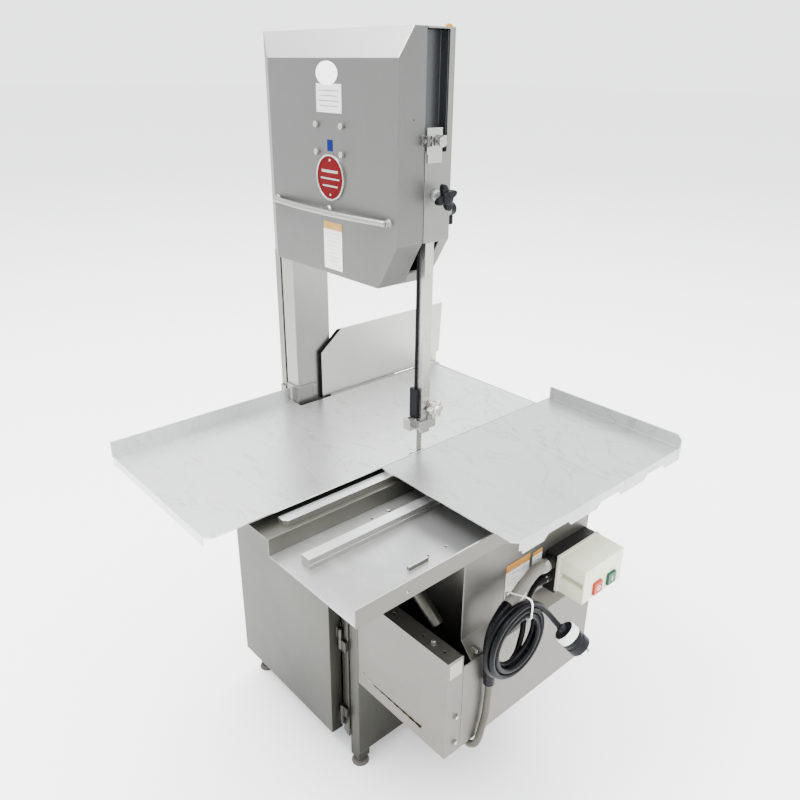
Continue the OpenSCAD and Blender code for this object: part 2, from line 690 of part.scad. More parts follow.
module carriage() color("#ececea") place() {
    difference() {
        block([carriage_x0, carriage_x1], [carriage_y0, carriage_y1], [-3, 0]);
        translate([carriage_x1, carriage_y0, -5]) rotate([0, 0, 45])
            translate([-8, -8, 0]) cube([16, 16, 6]);
    }
    difference() {
        block([carriage_x1 - 2, carriage_x1], [carriage_y0 + 14, carriage_y1], [-31, -3]);
        translate([carriage_x1 - 3, carriage_y0 + 14, -31]) rotate([0, 90, 0]) cylinder(r = 10, h = 4);
        // shallow cut-outs along the lower edge
        for (y = [22, 190, 360]) slab_x([[y - 44, -32], [y - 30, -20], [y + 30, -20], [y + 42, -32]],
            [carriage_x1 - 3, carriage_x1 + 1]);
    }
    // pusher fence
    difference() {
        block([carriage_x0, carriage_x1], [carriage_y1 - 3, carriage_y1], [0, fence_h]);
        translate([carriage_x1, carriage_y1 + 1, fence_h]) rotate([90, 45, 0])
            translate([-8, -8, 0]) cube([16, 16, 6]);
    }
    block([carriage_x0, 36], [carriage_y0 + 6, carriage_y1 - 6], [deck_z + 12 + gap, -3]);
    for (y = roller_y) for (x = [middle_rail_x[0] - 6, middle_rail_x[1] + 2]) difference() {
        block([x, x + 4], [y - 14, y + 14], [roller_z - 8, -3]);
        rod_x([x - e, x + 4 + e], y, roller_z, 3);
    }
    for (y = roller_y) rod_x([middle_rail_x[0] - 8, middle_rail_x[1] + 8], y, roller_z, 3);
}

module roller(y) difference() {
    rod_x(middle_rail_x, y, roller_z, roller_r);
    rod_x([middle_rail_x[0] - e, middle_rail_x[1] + e], y, roller_z, 3.05);
}
module front_roller() color("#3b3b39") place() roller(roller_y[0]);
module rear_roller() color("#3b3b39") place() roller(roller_y[1]);

// ---- motor housing and side panels --------------------------------------------------------

box_z = [-540, -287];
panel_x = 262;                    // outer face of the upper side panel
box_x1 = 292;                     // outer face of the lower side panel
box_y = [-178, 297];

module motor_box() color("#b3b2ad") place() {
    difference() {
        block([cabinet_x1, box_x1], [box_y[0], box_y[0] + sheet], box_z);
        for (p = [[30, -500], [52, -505]]) rod_y(p[0], [box_y[0] - e, box_y[0] + 3], p[1], 3);
    }
    difference() {
        block([cabinet_x1, box_x1], [box_y[0] + sheet, -138], [box_z[1] - sheet, box_z[1]]);
        for (x = [30, 110, 200, 262]) rod_z(x, -158, [box_z[1] - 3, box_z[1] + 1], 3);
    }
    block([cabinet_x1, box_x1 - sheet], [box_y[0] + sheet, box_y[1]], [box_z[0], box_z[0] + sheet]);
    block([cabinet_x1, box_x1 - sheet], [box_y[1] - sheet, box_y[1]], [box_z[0] + sheet, -318]);
    // inner divider behind the open front
    block([cabinet_x1, panel_x - sheet], [-40, -38], [box_z[0] + sheet, tray_z - sheet]);
    // corner angle with its screws
    difference() {
        block([box_x1 - sheet, box_x1], [box_y[0] + sheet, -134], [box_z[0], box_z[1] - sheet]);
        for (z = [-510, -440]) rod_x([box_x1 - 3, box_x1 + e], -150, z, 3);
    }
    for (z = [-510, -440]) rod_x([box_x1, box_x1 + 3], -150, z, 6);
    for (x = [70, 230]) rod_z(x, -158, [box_z[1], box_z[1] + 4], 6);
}

module side_panel() color("#9e9e9a") place() {
    difference() {
        slab_y([[panel_x - sheet, tray_z - sheet], [panel_x, tray_z - sheet], [panel_x, -285],
            [box_x1, -318], [box_x1, box_z[0]], [box_x1 - sheet, box_z[0]], [box_x1 - sheet, -319],
            [panel_x - sheet, -286]], [-133, box_y[1]]);
        block([panel_x - 5, box_x1 + 1], [-134, -112], [-318.5, tray_z]);
    }
    rod_x([panel_x + 16, box_x1 - 1], -94, -303, 6);
    // blank notices
    block([panel_x - 1, panel_x + 0.8], [14, 88], [-281, -166]);
    block([panel_x - 1, panel_x + 0.8], [99, 130], [-236, -172]);
}

// ---- switch -------------------------------------------------------------------------------

switch_y = [147, 287];
switch_z = [-272, -187];
cover_x = [293, 365];
gland_y = switch_y[0] - 22;
button_w = 30;
button_z = [-264, -234];
stop_y = 181;
start_y = 232;

module gland(y, x, z, r, bore) difference() {
    union() {
        rod_y(x, [y, switch_y[0]], z, r);
        translate([x, y + 8, z]) rotate([-90, 0, 0]) cylinder(r = r * 1.1, h = 8, $fn = 6);
    }
    rod_y(x, [y - e, switch_y[0] + e], z, bore);
}

module switch_box() color("#1c1c1c") place() {
    block([panel_x, cover_x[0]], switch_y, [-284, switch_z[1]]);
    gland(gland_y, 278, -208, 14, 9);
    gland(gland_y, 277, -246, 10, cord_d / 2 - 2);
}

module switch_cover() color("#e4e0c8") place() difference() {
    union() {
        block([cover_x[0], cover_x[0] + 7], [switch_y[0] - 2, switch_y[1] + 2],
            [switch_z[0] - 2, switch_z[1] + 2]);
        slab_y([[cover_x[0] + 7, switch_z[0]], [cover_x[1], switch_z[0]], [cover_x[1], switch_z[1] - 3],
            [cover_x[0] + 7, switch_z[1]]], switch_y);
    }
    block([cover_x[0] + 12, cover_x[1] - 4], [switch_y[0] - e, switch_y[0] + 12], [-236, -221]);
    for (y = [stop_y, start_y]) block([cover_x[1] - 16, cover_x[1] + e],
        [y - gap, y + button_w + gap], [button_z[0] - gap, button_z[1] + gap]);
}

module push_button(y) {
    block([cover_x[1] - 11, cover_x[1] + 6], [y, y + button_w], button_z);
}
module stop_button() color("#e0622f") place() push_button(stop_y);
module start_button() color("#2f7d55") place() push_button(start_y);

// ---- cables -------------------------------------------------------------------------------

conduit_path = [[278, 125, -208], [280, 104, -203], [283, 80, -201], [288, 56, -204], [292, 32, -209],
    [297, 10, -214], [301, -12, -217], [305, -34, -220], [308, -54, -230], [308, -68, -248],
    [308, -76, -272], [308, -78, -300], [308, -76, -330], [307, -72, -360], [306, -69, -390]];
drop_path = [[306, -70, -382], [305, -68, -420], [304, -68, -450], [304, -71, -480], [303, -76, -505],
    [303, -81, -522], [302.5, -85, -536], [300, -89, -549], [294, -92, -558], [285, -95, -561],
    [276, -96, -556], [271, -97, -547], [270, -97, -537]];

module conduit() color("#9a9a9c") place() {
    tube(conduit_path, 13, 16, [1, 0.3, 0.1]);
    tube(drop_path, 8, 12, [1, 0.3, 0.1]);
}

coil_x = [325, 350];
coil_c = [-33, -279];             // Y and Z of the coil's centre
coil_depth = coil_x[1] - coil_x[0];
coil_band = 20;                   // half the width of the coil's ring
cord_path = [[277, 125, -246], [277, 113, -246], [278, 101, -246], [281, 88, -246], [286, 74, -247],
    [292, 60, -249], [299, 46.5, -254.4], [306, 31.9, -266.6], [310, 24.2, -278.8], [313, 20, -290],
    [315, 16.5, -301], [316.5, 11.5, -313], [317.5, 6.5, -324.7], [318.5, 1.5, -336.8],
    [319, -6.4, -347.2], [319, -16.8, -355.1], [319, -28.9, -360.1], [320, -41.8, -361.8],
    [323, -54.7, -360.1]];
tail_path = [[344, 31.3, -225], [344.5, 38.5, -234], [346, 46, -244], [349, 53.5, -254], [353, 60, -264],
    [359, 66, -275], [366, 71.5, -285]];

module cord() color("#1a1a1a") place() {
    tube(cord_path, cord_d / 2, 12, [0.2, 0.1, 1]);
    tube(tail_path, cord_d / 2, 12, [0.2, 0.1, 1]);
}

module cord_coil() color("#1a1a1a") place()
    translate([coil_x[0], coil_c[0], coil_c[1]]) rotate([0, 90, 0])
        rotate_extrude($fn = 64) translate([coil_r, coil_depth / 2]) polygon([
            for (c = [[1, 0.6], [0.75, 1], [-0.75, 1], [-1, 0.6],
                    [-1, -0.6], [-0.75, -1], [0.75, -1], [1, -0.6]])
                [c[0] * coil_band, c[1] * coil_depth / 2]]);

// Loop that holds the conduit and the top of the coil together
module cable_tie() color("#ecece8") place() difference() {
    block([284.5, 353.5], [-12, -7], [-239, -184]);
    block([285.8, 352.2], [-13, -6], [-237.7, -185.3]);
}

plug_at = [366, 71.5, -285];
plug_dir = [0.6, 0.42, -0.68];
module plug() color("#25262a") place() translate(plug_at)
    rotate([0, acos(plug_dir[2] / norm(plug_dir)), atan2(plug_dir[1], plug_dir[0])]) {
        cylinder(r1 = 8, r2 = 10.5, h = 12);
        translate([0, 0, 12]) cylinder(r = 23.5, h = 21);
        translate([0, 0, 33]) cylinder(r = 25, h = 33);
        for (a = [0, 120, 240]) rotate([0, 0, a]) translate([10, -3, 65]) cube([2, 6, 15]);
    }

legs();
leveling_feet();
cabinet();
bulkhead();
lower_door();
lower_door_hinge();
upper_deck();
tray();
carriage_rails();
stationary_table();
table_insert();
column();
column_cover();
column_foot();
head_housing();
head_door();
door_handle();
door_bolts();
door_badge();
door_labels();
latch_base();
latch_bolt();
lifting_eye();
bar_clamp_lever();
upper_wheel();
upper_bearings();
upper_axle();
tension_block();
tension_spring();
lower_wheel();
lower_shaft();
lower_bearing();
drive_pulley();
blade();
motor();
motor_pulley();
drive_belt();
guide_bracket();
guide_lock_knob();
guide_bar();
guide_clamp();
guide_strip();
guide_roller();
guide_knob();
gauge_rail();
gauge_plate();
carriage();
front_roller();
rear_roller();
motor_box();
side_panel();
switch_box();
switch_cover();
stop_button();
start_button();
conduit();
cable_tie();
cord();
cord_coil();
plug();
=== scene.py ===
"""Looks of a butcher's band saw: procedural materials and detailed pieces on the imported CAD."""

import json
import math

import bmesh
import bpy
from mathutils import Matrix, Vector


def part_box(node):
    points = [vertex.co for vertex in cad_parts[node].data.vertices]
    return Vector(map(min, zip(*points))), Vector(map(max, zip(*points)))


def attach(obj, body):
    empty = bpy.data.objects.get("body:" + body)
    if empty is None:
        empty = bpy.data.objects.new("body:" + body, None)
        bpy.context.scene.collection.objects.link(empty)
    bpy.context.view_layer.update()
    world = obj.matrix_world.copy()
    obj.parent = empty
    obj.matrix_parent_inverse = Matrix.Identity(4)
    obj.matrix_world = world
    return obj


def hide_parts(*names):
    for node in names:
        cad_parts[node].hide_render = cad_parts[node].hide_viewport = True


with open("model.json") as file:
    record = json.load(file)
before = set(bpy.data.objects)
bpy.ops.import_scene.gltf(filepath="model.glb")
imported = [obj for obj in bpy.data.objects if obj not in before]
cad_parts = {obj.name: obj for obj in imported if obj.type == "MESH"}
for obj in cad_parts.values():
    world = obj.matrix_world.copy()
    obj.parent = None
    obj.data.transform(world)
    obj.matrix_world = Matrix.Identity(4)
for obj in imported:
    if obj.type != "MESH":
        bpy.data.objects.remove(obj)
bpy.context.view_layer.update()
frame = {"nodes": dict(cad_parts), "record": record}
nodes = frame["nodes"]
record = frame["record"]

# The machine's own zero: the back edge of the blade at the table top, found from the frame.
BLADE_LOW, BLADE_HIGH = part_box("blade")
TABLE_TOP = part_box("table_insert")[1].z
HALF_BLADE = 0.4
ZERO = Vector((BLADE_HIGH.x - HALF_BLADE / 1000, BLADE_LOW.y, TABLE_TOP))


def at(x, y, z):
    """A point in the machine's millimetres, from the blade at the table top, as frame metres."""
    return ZERO + Vector((x, y, z)) / 1000


def mm(value):
    return value / 1000


# ---- camera, light and floor ---------------------------------------------------------------

CAMERA_AT = (1047.7, -990.8, 766.0)
CAMERA_YAW, CAMERA_PITCH, CAMERA_ROLL = 47.88, 23.90, 0.76
CAMERA_LENS = 33.57
CAMERA_SHIFT = (-0.0027, -0.0030)


def add_camera():
    """The photo's own camera, turned, pitched and rolled as solved from the machine's edges."""
    yaw, pitch, roll = (math.radians(a) for a in (CAMERA_YAW, CAMERA_PITCH, CAMERA_ROLL))
    back = Vector((math.sin(yaw) * math.cos(pitch), -math.cos(yaw) * math.cos(pitch), math.sin(pitch)))
    level = Vector((math.cos(yaw), math.sin(yaw), 0))
    up = back.cross(level)
    right = math.cos(roll) * level + math.sin(roll) * up
    up = -math.sin(roll) * level + math.cos(roll) * up
    data = bpy.data.cameras.new("camera")
    data.lens = CAMERA_LENS
    data.sensor_width = 36
    data.shift_x, data.shift_y = CAMERA_SHIFT
    data.clip_end = 200
    camera = bpy.data.objects.new("camera", data)
    turn = Matrix((right, up, back)).transposed().to_4x4()
    camera.matrix_world = Matrix.Translation(at(*CAMERA_AT)) @ turn
    bpy.context.scene.collection.objects.link(camera)
    bpy.context.scene.camera = camera


def add_light(name, place, target, size, power):
    data = bpy.data.lights.new(name, "AREA")
    data.shape = "DISK"
    data.size = size
    data.energy = power
    lamp = bpy.data.objects.new(name, data)
    lamp.location = place
    lamp.rotation_euler = (Vector(target) - Vector(place)).to_track_quat("-Z", "Y").to_euler()
    bpy.context.scene.collection.objects.link(lamp)


SKY_COLOR = (0.97, 0.98, 1.0, 1)
SKY_STRENGTH = 2.9
FLOOR_HALF = 60


def add_stage():
    world = bpy.data.worlds.new("studio")
    world.use_nodes = True
    sky = world.node_tree.nodes["Background"].inputs
    sky["Color"].default_value = SKY_COLOR
    sky["Strength"].default_value = SKY_STRENGTH
    bpy.context.scene.world = world
    add_light("ceiling", (0, 0, 6.0), (0, 0, 0), 10.0, 1500)
    add_light("key", (-0.6, -1.8, 4.4), (0, 0, 0.9), 1.6, 220)
    floor = new_mesh("floor", *grid_plane(FLOOR_HALF))
    floor.data.materials.append(floor_paint())


def grid_plane(half):
    corners = [(-half, -half, 0), (half, -half, 0), (half, half, 0), (-half, half, 0)]
    return corners, [(0, 1, 2, 3)]


# ---- node materials ------------------------------------------------------------------------

class Paint:
    """A node material under construction: a principled shader and helpers for procedural detail."""

    def __init__(self, name, color, rough, metal=0.0):
        self.mat = bpy.data.materials.new(name)
        self.mat.use_nodes = True
        self.tree = self.mat.node_tree
        self.shader = self.tree.nodes["Principled BSDF"]
        self.shader.inputs["Base Color"].default_value = (*color, 1)
        self.shader.inputs["Roughness"].default_value = rough
        self.shader.inputs["Metallic"].default_value = metal
        self.color = (*color, 1)
        self.coords = self.add("ShaderNodeTexCoord").outputs["Object"]
        self.height = None

    def add(self, kind, **values):
        node = self.tree.nodes.new(kind)
        for key, value in values.items():
            setattr(node, key, value)
        return node

    def link(self, a, b):
        self.tree.links.new(a, b)

    def stretched(self, scale):
        mapping = self.add("ShaderNodeMapping")
        mapping.inputs["Scale"].default_value = scale
        self.link(self.coords, mapping.inputs["Vector"])
        return mapping.outputs["Vector"]

    def noise(self, scale, detail=4.0, stretch=None, rough=0.55, distort=0.0):
        node = self.add("ShaderNodeTexNoise")
        node.inputs["Scale"].default_value = scale
        node.inputs["Detail"].default_value = detail
        node.inputs["Roughness"].default_value = rough
        node.inputs["Distortion"].default_value = distort
        self.link(self.stretched(stretch) if stretch else self.coords, node.inputs["Vector"])
        return node.outputs["Fac"]

    def range(self, value, low, high, to_low, to_high):
        node = self.add("ShaderNodeMapRange")
        ends = {"From Min": low, "From Max": high, "To Min": to_low, "To Max": to_high}
        for key, number in ends.items():
            node.inputs[key].default_value = number
        self.link(value, node.inputs["Value"])
        return node.outputs["Result"]

    def math(self, kind, a, b):
        node = self.add("ShaderNodeMath", operation=kind)
        for k, v in enumerate((a, b)):
            if isinstance(v, (int, float)):
                node.inputs[k].default_value = v
            else:
                self.link(v, node.inputs[k])
        return node.outputs[0]

    def axis(self, name):
        node = self.add("ShaderNodeSeparateXYZ")
        self.link(self.coords, node.inputs[0])
        return node.outputs[name]

    def band(self, value, centre, half, soft):
        """1 within half of centre, falling to 0 over soft."""
        distance = self.math("ABSOLUTE", self.math("SUBTRACT", value, centre), 0)
        return self.range(distance, half, half + soft, 1, 0)

    def tint(self, mask, color):
        """Mixes a colour over what the base colour has so far, where mask is 1."""
        mix = self.add("ShaderNodeMix", data_type="RGBA")
        base = self.shader.inputs["Base Color"]
        if base.is_linked:
            self.link(base.links[0].from_socket, mix.inputs["A"])
        else:
            mix.inputs["A"].default_value = self.color
        mix.inputs["B"].default_value = (*color, 1)
        self.link(mask, mix.inputs["Factor"])
        self.link(mix.outputs["Result"], base)

    def upward(self):
        """How far the surface faces up, from -1 to 1."""
        node = self.add("ShaderNodeSeparateXYZ")
        self.link(self.add("ShaderNodeNewGeometry").outputs["Normal"], node.inputs[0])
        return node.outputs["Z"]

    def roughness(self, value, low, high):
        self.link(self.range(value, 0.25, 0.75, low, high), self.shader.inputs["Roughness"])

    def relief(self, value, strength, distance):
        bump = self.add("ShaderNodeBump")
        bump.inputs["Strength"].default_value = strength
        bump.inputs["Distance"].default_value = distance
        self.link(value, bump.inputs["Height"])
        if self.height:
            self.link(self.height, bump.inputs["Normal"])
        self.height = bump.outputs["Normal"]
        self.link(self.height, self.shader.inputs["Normal"])

    def soft_edges(self, radius):
        bevel = self.add("ShaderNodeBevel", samples=6)
        bevel.inputs["Radius"].default_value = radius
        self.height = bevel.outputs["Normal"]
        self.link(self.height, self.shader.inputs["Normal"])

    def worn_edges(self, color, strength=1.0):
        """Brighter where corners are rubbed, from a rounded normal against the true one."""
        wide = self.add("ShaderNodeBevel", samples=4)
        wide.inputs["Radius"].default_value = 0.004
        dot = self.add("ShaderNodeVectorMath", operation="DOT_PRODUCT")
        self.link(wide.outputs["Normal"], dot.inputs[0])
        self.link(self.add("ShaderNodeNewGeometry").outputs["Normal"], dot.inputs[1])
        edge = self.range(dot.outputs["Value"], 0.75, 0.97, strength, 0)
        patchy = self.range(self.noise(60, 5), 0.35, 0.6, 0, 1)
        self.tint(self.math("MULTIPLY", edge, patchy), color)


def shade(color, factor):
    return tuple(min(1.0, c * factor) for c in color)


SHEET_METALLIC = 0.9
GRAINS = {"vertical": (90, 90, 2.5), "along_x": (2.5, 90, 90), "along_y": (90, 2.5, 90)}


def brushed(name, color, rough, grain="vertical", stain=0.35, edge=0.0012):
    """Stainless sheet: brushed grain, cloudy smudges, fine scratches and rubbed corners."""
    p = Paint(name, color, rough, SHEET_METALLIC)
    p.soft_edges(edge)
    lines = p.noise(9, 8, GRAINS[grain], 0.7)
    clouds = p.noise(3.2, 5, distort=0.6)
    spots = p.noise(24, 6, rough=0.65)
    p.tint(p.range(lines, 0.3, 0.75, 0.0, 0.28), shade(color, 0.72))
    p.tint(p.range(clouds, 0.42, 0.72, 0.0, stain), shade(color, 0.74))
    warm = (color[0], color[1], color[2] * 0.97)
    p.tint(p.range(spots, 0.58, 0.74, 0.0, stain * 0.7), shade(warm, 0.82))
    scratch = p.noise(5, 3, (26, 7, 17), 0.5, 2.5)
    p.tint(p.band(scratch, 0.52, 0.0012, 0.003), shade(color, 1.22))
    p.worn_edges(shade(color, 1.3), 0.5)
    mixed = p.math("MULTIPLY", p.math("ADD", lines, clouds), 0.5)
    p.roughness(mixed, rough - 0.08, rough + 0.12)
    p.relief(lines, 0.10, 0.0004)
    p.relief(clouds, 0.12, 0.002)
    return p


def cast(name, color, rough, metal=0.6):
    p = Paint(name, color, rough, metal)
    p.soft_edges(0.0015)
    grain = p.noise(260, 4, rough=0.6)
    stains = p.noise(18, 6)
    p.tint(p.range(stains, 0.4, 0.7, 0, 0.5), shade(color, 0.6))
    p.tint(p.range(grain, 0.6, 0.8, 0, 0.35), shade(color, 1.3))
    p.roughness(stains, rough - 0.08, rough + 0.15)
    p.relief(grain, 0.35, 0.0006)
    p.worn_edges(shade(color, 1.6), 0.6)
    return p


def plastic(name, color, rough, grain=900, edge=0.0015, dirt=0.25, wear=0.3, shine=0.25):
    p = Paint(name, color, rough)
    p.shader.inputs["Specular IOR Level"].default_value = shine
    p.soft_edges(edge)
    fine = p.noise(grain, 3)
    dirty = p.noise(22, 6, distort=0.4)
    p.tint(p.range(dirty, 0.45, 0.75, 0, dirt), shade(color, 0.68))
    p.worn_edges(tuple(c * 1.1 + 0.012 for c in color), wear)
    p.roughness(dirty, rough - 0.06, rough + 0.14)
    p.relief(fine, 0.12, 0.0002)
    return p


def rubber(name, color, rough):
    p = Paint(name, color, rough)
    p.shader.inputs["Specular IOR Level"].default_value = 0.1
    fine = p.noise(700, 3)
    dusty = p.noise(30, 6)
    p.tint(p.range(dusty, 0.45, 0.8, 0, 0.45), tuple(c * 1.5 + 0.003 for c in color))
    p.roughness(dusty, rough - 0.08, rough + 0.12)
    p.relief(fine, 0.25, 0.0003)
    return p


def floor_paint():
    p = Paint("floor_pale", (0.96, 0.96, 0.96), 0.8)
    p.tint(p.range(p.noise(3, 4), 0.4, 0.7, 0, 0.04), (0.90, 0.90, 0.90))
    return p.mat


def steel_body():
    color = (0.19, 0.192, 0.18)
    return brushed("steel_body", color, 0.38, stain=0.4, edge=0.003)


def motor_box_steel():
    """The lower box: duller sheet, grimy towards its bottom edge."""
    p = brushed("steel_box", (0.145, 0.142, 0.127), 0.42, stain=0.6, edge=0.002)
    grime = p.range(p.axis("Z"), at(0, 0, -535).z, at(0, 0, -430).z, 0.35, 0)
    p.tint(p.math("MULTIPLY", grime, p.noise(9, 6)), (0.16, 0.14, 0.11))
    return p


def cabinet_steel(name="steel_cabinet", color=(0.066, 0.0665, 0.056), dirt=0.8, height=-420):
    """The wheel cabinet and its legs: darker and stained towards the floor."""
    p = brushed(name, color, 0.40, stain=0.5, edge=0.003)
    low = p.range(p.axis("Z"), at(0, 0, -790).z, at(0, 0, height).z, dirt, 0)
    streaks = p.range(p.noise(7, 6, (1, 1, 0.3)), 0.3, 0.6, 0.5, 1)
    p.tint(p.math("MULTIPLY", low, streaks), (0.012, 0.011, 0.008))
    return p


def head_steel():
    """The head's door: even satin sheet with patches of pale dust, and painted highlight that makes its
    upward-facing slopes paler.
    """
    p = brushed("steel_door", (0.122, 0.124, 0.118), 0.42, stain=0.25, edge=0.005)
    dust = p.range(p.noise(7, 6), 0.52, 0.75, 0, 0.25)
    p.tint(dust, (0.155, 0.157, 0.15))
    # painted highlight: faces that look up are tinted paler, as overhead light makes them
    p.tint(p.range(p.upward(), 0.12, 0.3, 0, 0.85), (0.42, 0.42, 0.41))
    return p


def table_steel(name="steel_table", color=(0.62, 0.625, 0.62)):
    """Tables: bright, worn by sliding meat along the feed, with faint swirls and cloudy wipes."""
    p = brushed(name, color, 0.30, "along_y", stain=0.16, edge=0.001)
    swirls = p.noise(2.2, 4, (1, 3.2, 1), 0.5, 3.0)
    p.tint(p.band(swirls, 0.5, 0.004, 0.012), shade(color, 0.8))
    p.tint(p.range(p.noise(1.6, 3), 0.42, 0.62, 0, 0.45), shade(color, 0.66))
    knife = p.noise(3.4, 2, (3, 22, 3), 0.5, 2.0)
    p.tint(p.band(knife, 0.5, 0.0008, 0.002), shade(color, 0.6))
    return p


def tray_steel():
    p = brushed("steel_tray", (0.50, 0.505, 0.50), 0.30, "along_y", stain=0.45, edge=0.0015)
    wet = p.range(p.noise(6, 6, distort=1.0), 0.5, 0.66, 0, 0.3)
    p.tint(wet, (0.85, 0.85, 0.84))
    # painted shade: faces that don't look up, such as the lip and sides, are tinted dark
    p.tint(p.range(p.upward(), 0.4, 0.8, 1, 0), (0.105, 0.102, 0.088))
    return p


def rail_steel():
    """The tray's rails: bright steel, with painted shade that makes their sides duller than their tops.
    """
    p = brushed("steel_rail", (0.80, 0.805, 0.80), 0.3, "along_y", stain=0.15, edge=0.001)
    # painted shade: faces that don't look up are tinted darker
    p.tint(p.range(p.upward(), 0.4, 0.8, 1, 0), (0.24, 0.238, 0.22))
    return p


def gauge_steel():
    """The gauge plate, with a painted dark reflection as a black band along its front edge and chamfer.
    """
    p = brushed("steel_gauge", (0.44, 0.44, 0.42), 0.38, stain=0.25)
    y, z = p.axis("Y"), p.axis("Z")
    strip = 0.007
    front_y, chamfer_z = 12.0, 121.0
    # painted dark reflection: a black band about 7 mm wide along the front edge, and another along the
    # chamfer
    front = p.range(p.math("SUBTRACT", y, at(0, front_y, 0).y), strip, strip + 0.0006, 1, 0)
    # distance from the chamfer's line through (12, 121) and (70, 168)
    run, rise = 70 - front_y, 168 - chamfer_z
    length = math.hypot(run, rise)
    across = p.math("MULTIPLY", p.math("SUBTRACT", y, at(0, front_y, 0).y), rise / length)
    down = p.math("MULTIPLY", p.math("SUBTRACT", z, at(0, 0, chamfer_z).z), run / length)
    chamfer = p.range(p.math("SUBTRACT", across, down), strip, strip + 0.0006, 1, 0)
    p.tint(p.math("MAXIMUM", front, chamfer), (0.002, 0.002, 0.002))
    return p


def blade_steel():
    return brushed("blade_steel", (0.26, 0.255, 0.24), 0.3, stain=0.3, edge=0.0002)


def badge_red():
    p = Paint("badge_red", (0.075, 0.0002, 0.0012), 0.5)
    p.shader.inputs["Specular IOR Level"].default_value = 0.06
    p.tint(p.range(p.noise(60, 6), 0.5, 0.75, 0, 0.35), (0.03, 0.0002, 0.0015))
    p.roughness(p.noise(40, 5), 0.4, 0.6)
    p.relief(p.noise(500, 3), 0.08, 0.0002)
    return p


def label_paper(name, base, header=None, header_from=0.0):
    """A blank notice: pale film with blotchy grime, and a plain coloured band along its top."""
    p = Paint(name, base, 0.42)
    if header:
        band = p.range(p.axis("Z"), header_from, header_from + 0.0004, 0, 1)
        p.tint(band, header)
    p.tint(p.range(p.noise(50, 6), 0.52, 0.75, 0, 0.5), shade(base, 0.75))
    p.tint(p.range(p.noise(220, 4), 0.6, 0.72, 0, 0.4), (0.45, 0.42, 0.36))
    p.roughness(p.noise(80, 4), 0.35, 0.6)
    p.relief(p.noise(300, 3), 0.1, 0.0003)
    return p


def conduit_grey():
    return plastic("conduit_grey", (0.06, 0.055, 0.044), 0.42, 500, 0.0004, 0.45, 0.1)


PAINTS = {
    "steel_table": table_steel(),
    "steel_body": steel_body(),
    "steel_door": head_steel(),
    "steel_bright": brushed("steel_bright", (0.36, 0.36, 0.345), 0.24, stain=0.2, edge=0.001),
    "gauge_steel": gauge_steel(),
    "shaft_steel": brushed("shaft_steel", (0.55, 0.55, 0.53), 0.25, "along_y"),
    "blade_steel": blade_steel(),
    "spring_steel": cast("spring_steel", (0.25, 0.24, 0.23), 0.4, 0.8),
    "cast_wheel": cast("cast_wheel", (0.50, 0.50, 0.48), 0.38, 0.8),
    "cast_dark": cast("cast_dark", (0.20, 0.20, 0.19), 0.5),
    "roller_black": plastic("roller_black", (0.06, 0.06, 0.06), 0.4),
    "knob_black": plastic("knob_black", (0.002, 0.0023, 0.0035), 0.32, 700, 0.002, 0.2, 0.4, 0.12),
    "knob_bright": brushed("knob_bright", (0.55, 0.54, 0.50), 0.22, stain=0.2, edge=0.0015),
    "foot_rubber": rubber("foot_rubber", (0.06, 0.058, 0.052), 0.75),
    "belt_rubber": rubber("belt_rubber", (0.03, 0.03, 0.03), 0.7),
    "badge_red": badge_red(),
    "label": label_paper("label_plate", (0.46, 0.46, 0.45)),
    "eye_orange": plastic("eye_orange", (0.40, 0.17, 0.008), 0.35, 500, 0.001, 0.2, 0.4),
    "motor_paint": plastic("motor_paint", (0.09, 0.11, 0.13), 0.4, 300, 0.002, 0.5, 0.5),
    "switch_black": plastic("switch_black", (0.006, 0.006, 0.006), 0.42, 600, 0.002, 0.3, 0.4),
    "switch_ivory": plastic("switch_ivory", (0.68, 0.69, 0.53), 0.42, 900, 0.003, 0.28, 0.2),
    "button_stop": plastic("button_stop", (0.34, 0.032, 0.007), 0.32, 900, 0.0015, 0.2, 0.3),
    "button_start": plastic("button_start", (0.003, 0.055, 0.026), 0.32, 900, 0.0015, 0.2, 0.3),
    "conduit_grey": conduit_grey(),
    "tie_white": plastic("tie_white", (0.80, 0.80, 0.78), 0.4, 900, 0.0005, 0.3, 0.0),
    "cord_black": rubber("cord_black", (0.0015, 0.0016, 0.0022), 0.34),
    "plug_black": plastic("plug_black", (0.003, 0.0035, 0.006), 0.36, 600, 0.0015, 0.35, 0.3, 0.15),
}
paints = {slot: paint.mat for slot, paint in PAINTS.items()}
BOX_STEEL, CABINET_STEEL = motor_box_steel().mat, cabinet_steel().mat
# Finishes of single nodes, which share a record slot with others but look different.
OWN_STEEL = {
    "motor_box": BOX_STEEL,
    "side_panel": BOX_STEEL,
    "cabinet": CABINET_STEEL,
    "lower_door": CABINET_STEEL,
    "lower_door_hinge": CABINET_STEEL,
    "legs": cabinet_steel("steel_legs", (0.075, 0.075, 0.064), 1.0, -560).mat,
    "tray": tray_steel().mat,
    "column": brushed("steel_column", (0.27, 0.272, 0.258), 0.38, stain=0.4, edge=0.003).mat,
    "carriage_rails": rail_steel().mat,
    "carriage": table_steel("steel_carriage", (0.46, 0.465, 0.46)).mat,
    "upper_deck": brushed("steel_deck", (0.115, 0.115, 0.10), 0.4, "along_y", 0.5, 0.003).mat,
    "door_handle": brushed("steel_handle", (0.25, 0.248, 0.23), 0.36, "along_x", 0.3).mat,
}


def paint_frame():
    slots = {part["node"]: part["material_slot"] for part in record["subparts"]}
    for name, thing in nodes.items():
        material = OWN_STEEL.get(name) or paints[slots[name]]
        for material_slot in thing.material_slots:
            material_slot.material = material
        if not thing.material_slots:
            thing.data.materials.append(material)


# ---- mesh helpers --------------------------------------------------------------------------

def new_mesh(name, verts, faces):
    data = bpy.data.meshes.new(name)
    data.from_pydata([tuple(v) for v in verts], [], faces)
    data.update()
    thing = bpy.data.objects.new(name, data)
    bpy.context.scene.collection.objects.link(thing)
    return thing


